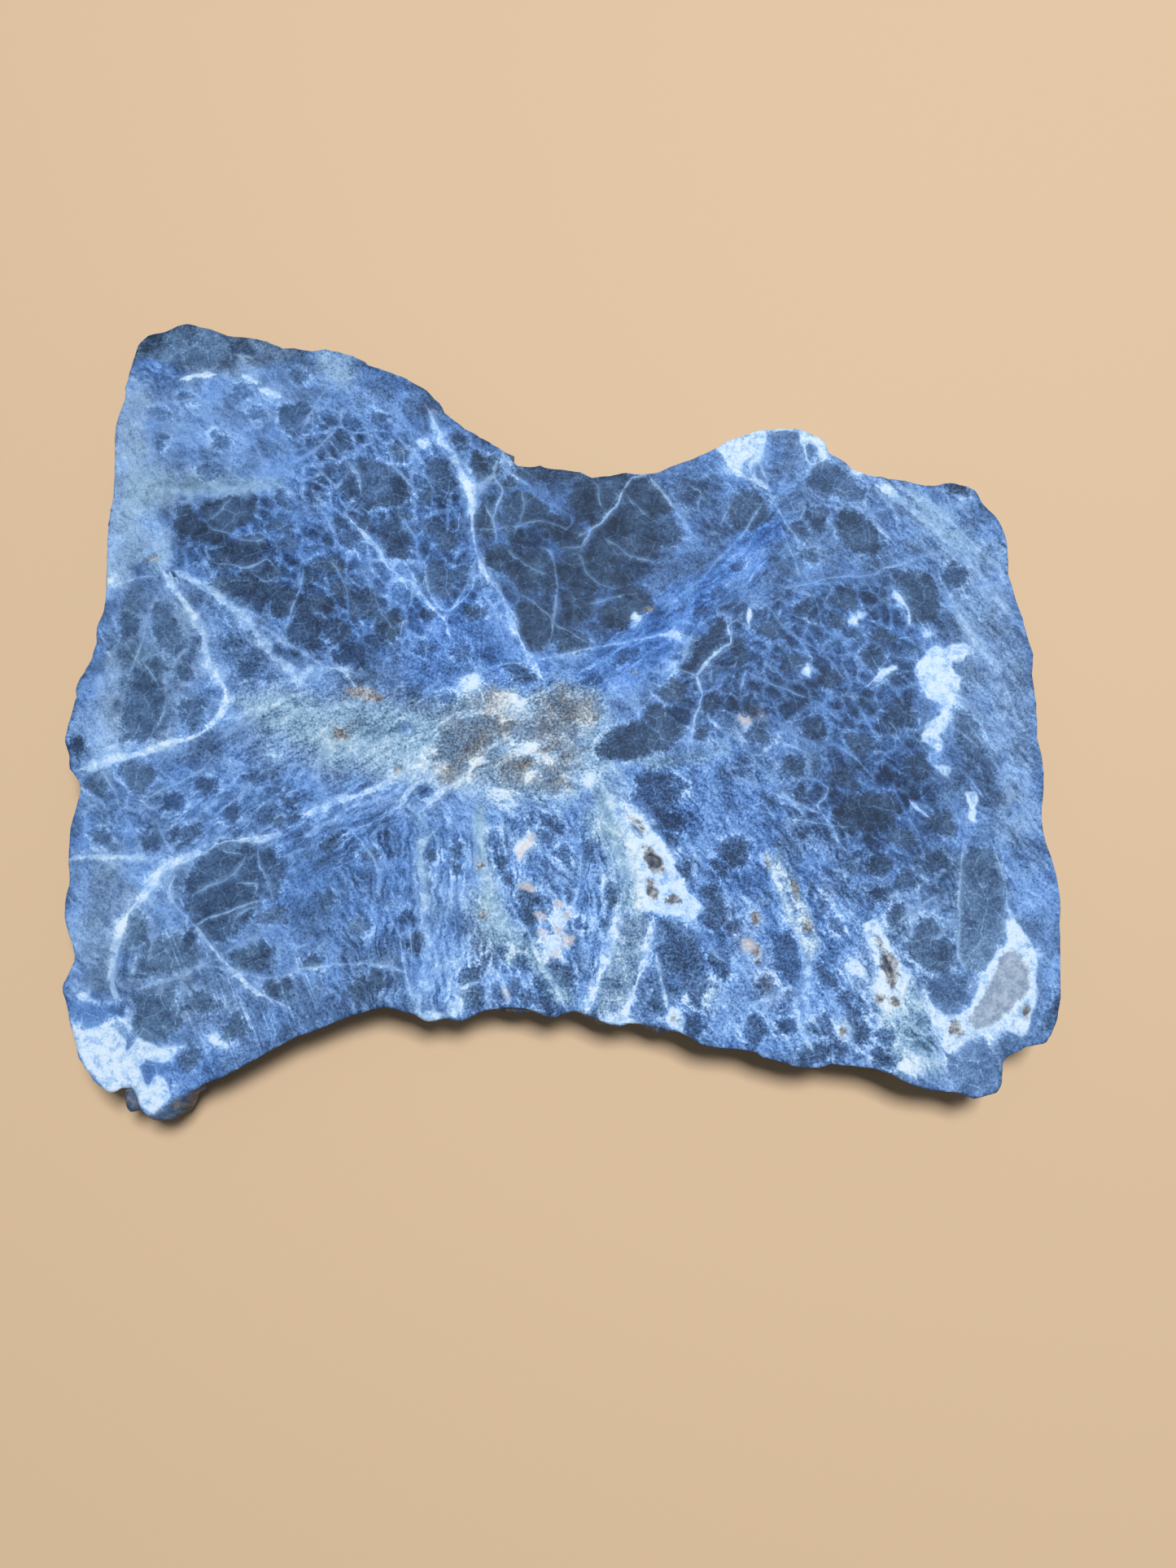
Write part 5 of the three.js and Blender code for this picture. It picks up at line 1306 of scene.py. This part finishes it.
here = add("TexCoord", out="Object")
mm = add("Mapping", {"Vector": here, "Scale": (1000, 1000, 400)})  # streaks run down the wall
swirl = add("TexNoise", {"Vector": mm, "Scale": 0.3, "Detail": 4, "Roughness": 0.6}, out=1)
swirl = add("VectorMath", [swirl, (0.5, 0.5, 0.5)], operation="SUBTRACT")
bent = add("VectorMath", [swirl, (3.0, 3.0, 3.0), mm], operation="MULTIPLY_ADD")
clouds = add("TexNoise", {"Vector": bent, "Scale": 0.22, "Detail": 6, "Roughness": 0.6}).node.outputs
cloud = clouds[0]  # 4 mm clouds, and three more patterns like them
cloud_2, cloud_3, cloud_4 = add("SeparateColor", [clouds[1]]).node.outputs
mottle = add("TexNoise", {"Vector": bent, "Scale": 0.8, "Detail": 6, "Roughness": 0.6})  # 1 mm mottling
grain = add("TexNoise", {"Vector": mm, "Scale": 2.9, "Detail": 3, "Roughness": 0.8})  # 0.3 mm grains

# The values that were kept for each point of the slab.
kept = {}
for name in ("pull", "grain", "ground", "crowd", "cell", "spar", *SETS):
    store = add("Attribute", out="Color", attribute_name=name).node.outputs
    kept[name] = [*add("SeparateColor", [store["Color"]]).node.outputs, store["Alpha"]]

# Streaks 4 mm long and 0.6 mm wide, in four directions, weighed by the way the rock was pulled.
streak = 0.0
for turn, weight in zip(STREAKS, kept["pull"]):
    lane = {"Vector": bent, "Rotation": (0, 0, math.radians(turn)), "Scale": (4.2, 0.62, 3)}
    lane = add("Mapping", lane, vector_type="TEXTURE")
    line = {"Vector": lane, "Scale": 1, "Detail": 4, "Roughness": 0.52, "Distortion": 0.3}
    line = add("TexNoise", line, noise_dimensions="2D")
    streak = add("Math", [line, weight, streak], operation="MULTIPLY_ADD")

# A net of healed cracks, 2.8 mm and 1.2 mm apart, that shows in some stretches and clouds.
SOFT = {"interpolation_type": "SMOOTHSTEP"}
split = add("VectorMath", [swirl, (1.3, 1.3, 0), mm], operation="MULTIPLY_ADD")
crack = {"feature": "DISTANCE_TO_EDGE", "voronoi_dimensions": "2D"}
stretch = add("MapRange", [streak, 0.38, 0.52, 0.0, 1.0])
wide_net = add("TexVoronoi", {"Vector": split, "Scale": 0.36}, **crack)
wide_net = add("MapRange", [wide_net, 0.0, 0.05, 1.0, 0.0], **SOFT)
wide_net = add("Math", [wide_net, stretch], operation="MULTIPLY")
cloudy = add("MapRange", [cloud, 0.46, 0.6, 0.0, 0.7])
fine_net = add("TexVoronoi", {"Vector": split, "Scale": 0.8}, **crack)
fine_net = add("MapRange", [fine_net, 0.0, 0.07, 1.0, 0.0], **SOFT)
fine_net = add("Math", [fine_net, cloudy], operation="MULTIPLY")
cracks = add("Math", [wide_net, fine_net], operation="MAXIMUM")

# How far the edges of the marks wander, in millimetres.
wander = add("MapRange", [mottle, 0.25, 0.75, -0.7, 0.7])
jagged = add("MapRange", [grain, 0.3, 0.7, -0.16, 0.16])
wander = add("Math", [jagged, wander])

# Lightness of the ground: clouds, mottling, streaks, single grains.
net, pepper, saw, flow = kept["grain"]
light, royal, green, warm = kept["ground"]
cloud_part = add("MapRange", [cloud, 0.36, 0.64, -0.11, 0.11], **SOFT)
mottle_part = add("MapRange", [mottle, 0.34, 0.66, -0.5, 0.5], **SOFT)
streak_part = add("MapRange", [streak, 0.37, 0.63, -0.17, 0.17])
grain_part = add("MapRange", [grain, 0.3, 0.7, -0.5, 0.5])
fleck = add("MapRange", [grain, 0.33, 0.44, -0.13, 0.0])
lively = add("Math", [light, 0.2, 0.68], operation="MULTIPLY_ADD")  # the dark parts are calmer
amount = add("Math", [pepper, 0.13, 0.11], operation="MULTIPLY_ADD")
amount = add("Math", [amount, lively], operation="MULTIPLY")
fineness = add("Math", [pepper, 0.6, 0.24], operation="MULTIPLY_ADD")
light = add("Math", [light, cloud_part])
for part, strength in ((mottle_part, amount), (streak_part, flow), (grain_part, fineness)):
    light = add("Math", [part, strength, light], operation="MULTIPLY_ADD")
light = add("Math", [fleck, light])

# Crowded grains: dark middles, pale seams between them, and cracks.
big, big_shade, small, small_shade = kept["crowd"]
big = add("Math", [wander, 0.35, big], operation="MULTIPLY_ADD")
big = add("MapRange", [big, 0.75, 0.0, -0.19, 0.22], **SOFT)
big_shade = add("Math", [big_shade, 0.5], operation="SUBTRACT")
small = add("Math", [wander, 0.2, small], operation="MULTIPLY_ADD")
small = add("MapRange", [small, 0.42, -0.05, -0.05, 0.08], **SOFT)
small_shade = add("Math", [small_shade, 0.5], operation="SUBTRACT")
seams = add("Math", [big, small])
for part, strength in ((big_shade, 0.14), (small_shade, 0.08), (cracks, 0.3)):
    seams = add("Math", [part, strength, seams], operation="MULTIPLY_ADD")
light = add("Math", [seams, net, light], operation="MULTIPLY_ADD")
calmed = add("MapRange", [light, 0.7, 1.1, 0.0, -0.18])
light = add("Math", [light, calmed])  # never quite white

# The blue leans to royal or to slate from one cloud to the next, with a green tinge in places.
vivid = add("MapRange", [royal, 1.0, 1.6, 0.0, 1.0])
leaning = add("MapRange", [cloud_2, 0.3, 0.7, -0.35, 0.35])
royal = add("Math", [leaning, royal], use_clamp=True)
tinge = add("MapRange", [cloud_3, 0.52, 0.72, 0.0, 0.35])
green = add("Math", [tinge, green], use_clamp=True)

# Dark grains, which fade into the ground and are crossed by a few cracks.
cell, shade, hue, _ = kept["cell"]
cell = add("Math", [wander, 0.95, cell], operation="MULTIPLY_ADD")
swell = add("MapRange", [shade, 0.04, 0.16, 0.45, 0.0])
cell = add("Math", [cell, swell], operation="SUBTRACT")
broken = add("Math", [pepper, -0.55, 0.82], operation="MULTIPLY_ADD")
whole = add("MapRange", [mottle, 0.38, 0.52, broken, 1.0])
inside = add("MapRange", [cell, 0.75, -0.3, 0.0, 0.95], **SOFT)
inside = add("Math", [inside, whole], operation="MULTIPLY")
pale_rim = add("Math", [cell, 0.8], operation="SUBTRACT")
pale_rim = add("Math", [pale_rim], operation="ABSOLUTE")
pale_rim = add("MapRange", [pale_rim, 0.0, 0.6, 0.14, 0.0])
light = add("Math", [pale_rim, stretch, light], operation="MULTIPLY_ADD")
deep = add("Math", [shade, 0.8, 0.06], operation="MULTIPLY_ADD")
for part, strength in ((mottle_part, 0.2), (cloud_part, 0.8), (grain_part, fineness), (wide_net, 0.2)):
    deep = add("Math", [part, strength, deep], operation="MULTIPLY_ADD")
slaty = add("MapRange", [hue, 0.0, 0.7, 0.5, 0.0])
light, royal, vivid, green = (
    add("Mix", [inside, None, around, within])
    for around, within in ((light, deep), (royal, hue), (vivid, 0.0), (green, slaty))
)

# Saw marks: long fine scratches, one way.
lane = {"Vector": mm, "Rotation": (0, 0, math.radians(-66)), "Scale": (16, 0.34, 3)}
lane = add("Mapping", lane, vector_type="TEXTURE")
scratch = add("TexNoise", {"Vector": lane, "Scale": 1, "Detail": 2, "Roughness": 0.6})
scratch = add("MapRange", [scratch, 0.56, 0.72, 0.0, 0.22])
light = add("Math", [scratch, saw, light], operation="MULTIPLY_ADD")

# Veins, each in a wide soft pale band.
sway = add("Math", [wander, 0.26], operation="MULTIPLY")
plump = add("MapRange", [cloud_4, 0.38, 0.62, 0.2, 1.7])
glint = add("MapRange", [mottle, 0.36, 0.6, -0.2, 0.12])
glint = add("Math", [grain_part, 0.26, glint], operation="MULTIPLY_ADD")
sparkle = add("Math", [pepper, 0.6, 0.5], operation="MULTIPLY_ADD")
glint = add("Math", [glint, sparkle], operation="MULTIPLY")
for name in SETS:
    across, far, half, shine = kept[name]
    across = add("Math", [across, sway])
    across = add("Math", [across], operation="ABSOLUTE")
    limit = add("Math", [far, 0.4], operation="SUBTRACT")
    away = add("Math", [across, limit], operation="MAXIMUM")
    thick = add("Math", [half, plump], operation="MULTIPLY")
    away = add("Math", [away, thick], operation="SUBTRACT")
    soft = add("Math", [thick, thick], operation="MULTIPLY")
    soft = add("Math", [soft, 0.9, 0.1], operation="MULTIPLY_ADD")
    core = add("Math", [away, soft], operation="DIVIDE")
    core = add("MapRange", [core, 1.0, -0.8, 0.0, 0.92], **SOFT)
    broad = add("Math", [thick, 2.6, 0.25], operation="MULTIPLY_ADD")
    band = add("MapRange", [away, broad, 0.0, 0.0, 0.35], **SOFT)
    part = add("Math", [core, band], operation="MAXIMUM")
    shine = add("Math", [shine, glint])
    light = add("Mix", [part, None, light, shine])

# White feldspar, ragged and shot through with blue.
*spar, peach_far = kept["spar"]
white_far, tan_far, core_far = (
    add("Math", [wander, 0.5, far], operation="MULTIPLY_ADD") for far in spar
)
broken = add("Math", [pepper, -0.4, 0.92], operation="MULTIPLY_ADD")
whole = add("MapRange", [mottle, 0.36, 0.48, broken, 1.0])
white = add("MapRange", [white_far, 0.35, -0.15, 0.0, 1.0], **SOFT)
white = add("Math", [white, whole], operation="MULTIPLY")
haze = add("MapRange", [white_far, 2.0, 0.0, 0.0, 0.16], **SOFT)
light = add("Math", [light, haze])
chalk = add("Math", [mottle_part, 0.14, 0.95], operation="MULTIPLY_ADD")
chalk = add("Math", [grain_part, 0.2, chalk], operation="MULTIPLY_ADD")
light = add("Mix", [white, None, light, chalk])

# Bright specks where single crystals catch the light.
specks = add("TexVoronoi", {"Vector": mm, "Scale": 2.4}).node.outputs
speck = add("MapRange", [specks["Distance"], 0.26, 0.1, 0.0, 1.0])
chance = add("SeparateColor", [specks["Color"]])
chance = add("MapRange", [chance, 0.8, 0.95, 0.0, 0.3])
speck = add("Math", [speck, chance], operation="MULTIPLY")
much = add("Math", [pepper, 0.8, 0.2], operation="MULTIPLY_ADD")
light = add("Math", [speck, much, light], operation="MULTIPLY_ADD")

# The blues of the rock along its lightness. Green and warm are tinges of them.
NINE = (0, 0.12, 0.25, 0.38, 0.5, 0.62, 0.74, 0.86, 1)
FIVE = (0, 0.25, 0.5, 0.75, 1)
slates = "#253448 #31445e #3f5472 #50698a #637e9f #7893b4 #8eaac8 #acc8e2 #dcebf9"
royals = "#1c3054 #284470 #355688 #4369a2 #517ab8 #638ecd #78a3e1 #9bc5f6 #d2e8fd"
vivids = "#182f5c #305898 #4a7cc8 #72a2ec #d0e6ff"
greens = "#24344a #435f7c #6a8dac #98bdd8 #e0eef8"
warms = "#32343c #525a65 #747f8b #a0aebb #e4ecf3"
warm_part = add("MapRange", [cloud_4, 0.4, 0.6, 0.25, 1.25])
warm = add("Math", [warm, warm_part], operation="MULTIPLY", use_clamp=True)

# Tan and brown crumbs, the grey core, peach spots.
crumbs = add("Math", [grain_part, 0.3, mottle], operation="MULTIPLY_ADD")
tans = "#56504e #77767a #979da5 #b4c0cb #cedae4"
ashes = "#7b8fab #a9bad0"
peaches = "#b4bacb #e4dfdf"
tan = add("MapRange", [tan_far, 0.35, -0.3, 0.0, 0.9], **SOFT)
ash = add("MapRange", [core_far, 0.35, -0.3, 0.0, 0.95], **SOFT)
peach = add("Math", [peach_far, wander])
peach = add("MapRange", [peach, 0.3, -0.35, 0.0, 0.8], **SOFT)

# Weathered skin of the broken wall, and brown dust in the pits.
height = add("SeparateXYZ", [here], out=2)
height = add("Math", [height, 1000.0], operation="MULTIPLY")
below = add("MapRange", [height, 7.92, 7.3, 0.0, 1.0])
above = add("MapRange", [height, 0.02, 0.25, 0.0, 1.0])
patchy = add("MapRange", [cloud, 0.42, 0.58, 0.25, 0.85])
skin = add("Math", [below, above], operation="MULTIPLY")
skin = add("Math", [skin, patchy], operation="MULTIPLY")
rinds = "#2c3444 #44536a #6b6458 #9a8c74"

# Each of these colours lies over the ones before it, as far as its own share.
colour = None
for share, along_of, places, codes in (
    (None, light, NINE, slates),
    (royal, light, NINE, royals),
    (vivid, light, FIVE, vivids),
    (green, light, FIVE, greens),
    (warm, light, FIVE, warms),
    (tan, crumbs, (0.34, 0.44, 0.53, 0.64, 0.74), tans),
    (ash, crumbs, (0.34, 0.66), ashes),
    (peach, crumbs, (0.36, 0.62), peaches),
    (skin, mottle, (0.34, 0.46, 0.55, 0.66), rinds),
):
    tone = add("ValToRGB", [along_of], stops=zip(places, codes.split()))
    layers = {0: share, 6: colour, 7: tone}
    colour = add("Mix", layers, out=2, data_type="RGBA") if colour else tone

dull = add("MapRange", [grain, 0.3, 0.7, 0.5, 0.7])
relief = add("Math", [mottle, grain])
bump = add("Bump", {"Strength": 0.35, "Distance": 0.00006, "Height": relief})
stone = {"Base Color": colour, "Roughness": dull, "Normal": bump, "IOR": 1.48}
stone = add("BsdfPrincipled", {**stone, "Specular IOR Level": 0.12})
add("OutputMaterial", [stone])
mesh.materials.append(rock_look)
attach(slab, "root")
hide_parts("sodalite_slab")

# ---------------------------------------------------------------------------------------
# The table top under the slab: a plain pale board, much wider than the view, not part of
# the object.
BOARD = 2.0  # half its side, in metres
floor_mesh = bpy.data.meshes.new("pale_table_top")
corners = [(-BOARD, -BOARD, 0), (BOARD, -BOARD, 0), (BOARD, BOARD, 0), (-BOARD, BOARD, 0)]
floor_mesh.from_pydata(corners, [], [(0, 1, 2, 3)])
floor = stand(floor_mesh)
# Sanded pine, unvarnished: pale and dull. Its grain is left out.
board = bpy.data.materials.new("pale_board")
board.use_nodes = True
paint = board.node_tree.nodes["Principled BSDF"].inputs
paint["Base Color"].default_value = linear("#d6b997")
paint["Roughness"].default_value = 0.7
floor_mesh.materials.append(board)

# ---------------------------------------------------------------------------------------
# Light and camera. One wide soft lamp high behind the slab and to its right, in a pale room.
# The camera stands 150 mm above the sawn face and looks almost straight down on it.
lamp = bpy.data.lights.new("soft_window", "AREA")
lamp.shape, lamp.size, lamp.size_y, lamp.energy = "RECTANGLE", 0.4, 0.4, 18.9
lamp_object = stand(lamp)
lamp_object.location = (0.2, 0.38, 1.3)
lamp_object.rotation_euler = (-lamp_object.location).to_track_quat("-Z", "Y").to_euler()
room = bpy.data.worlds.new("pale_room")
room.use_nodes = True
air = room.node_tree.nodes["Background"].inputs
air["Color"].default_value = linear("#eef2f6")
air["Strength"].default_value = 0.14
scene = bpy.context.scene
scene.world = room
scene.view_settings.view_transform = "Standard"

lens = bpy.data.cameras.new("overhead")
lens.lens, lens.sensor_width, lens.clip_start = 25.0, 36.0, 0.005
camera = stand(lens)
camera.location = (0.00403, -0.03977, 0.157)
camera.rotation_euler = (math.radians(10.3), 0, 0)
scene.camera = camera
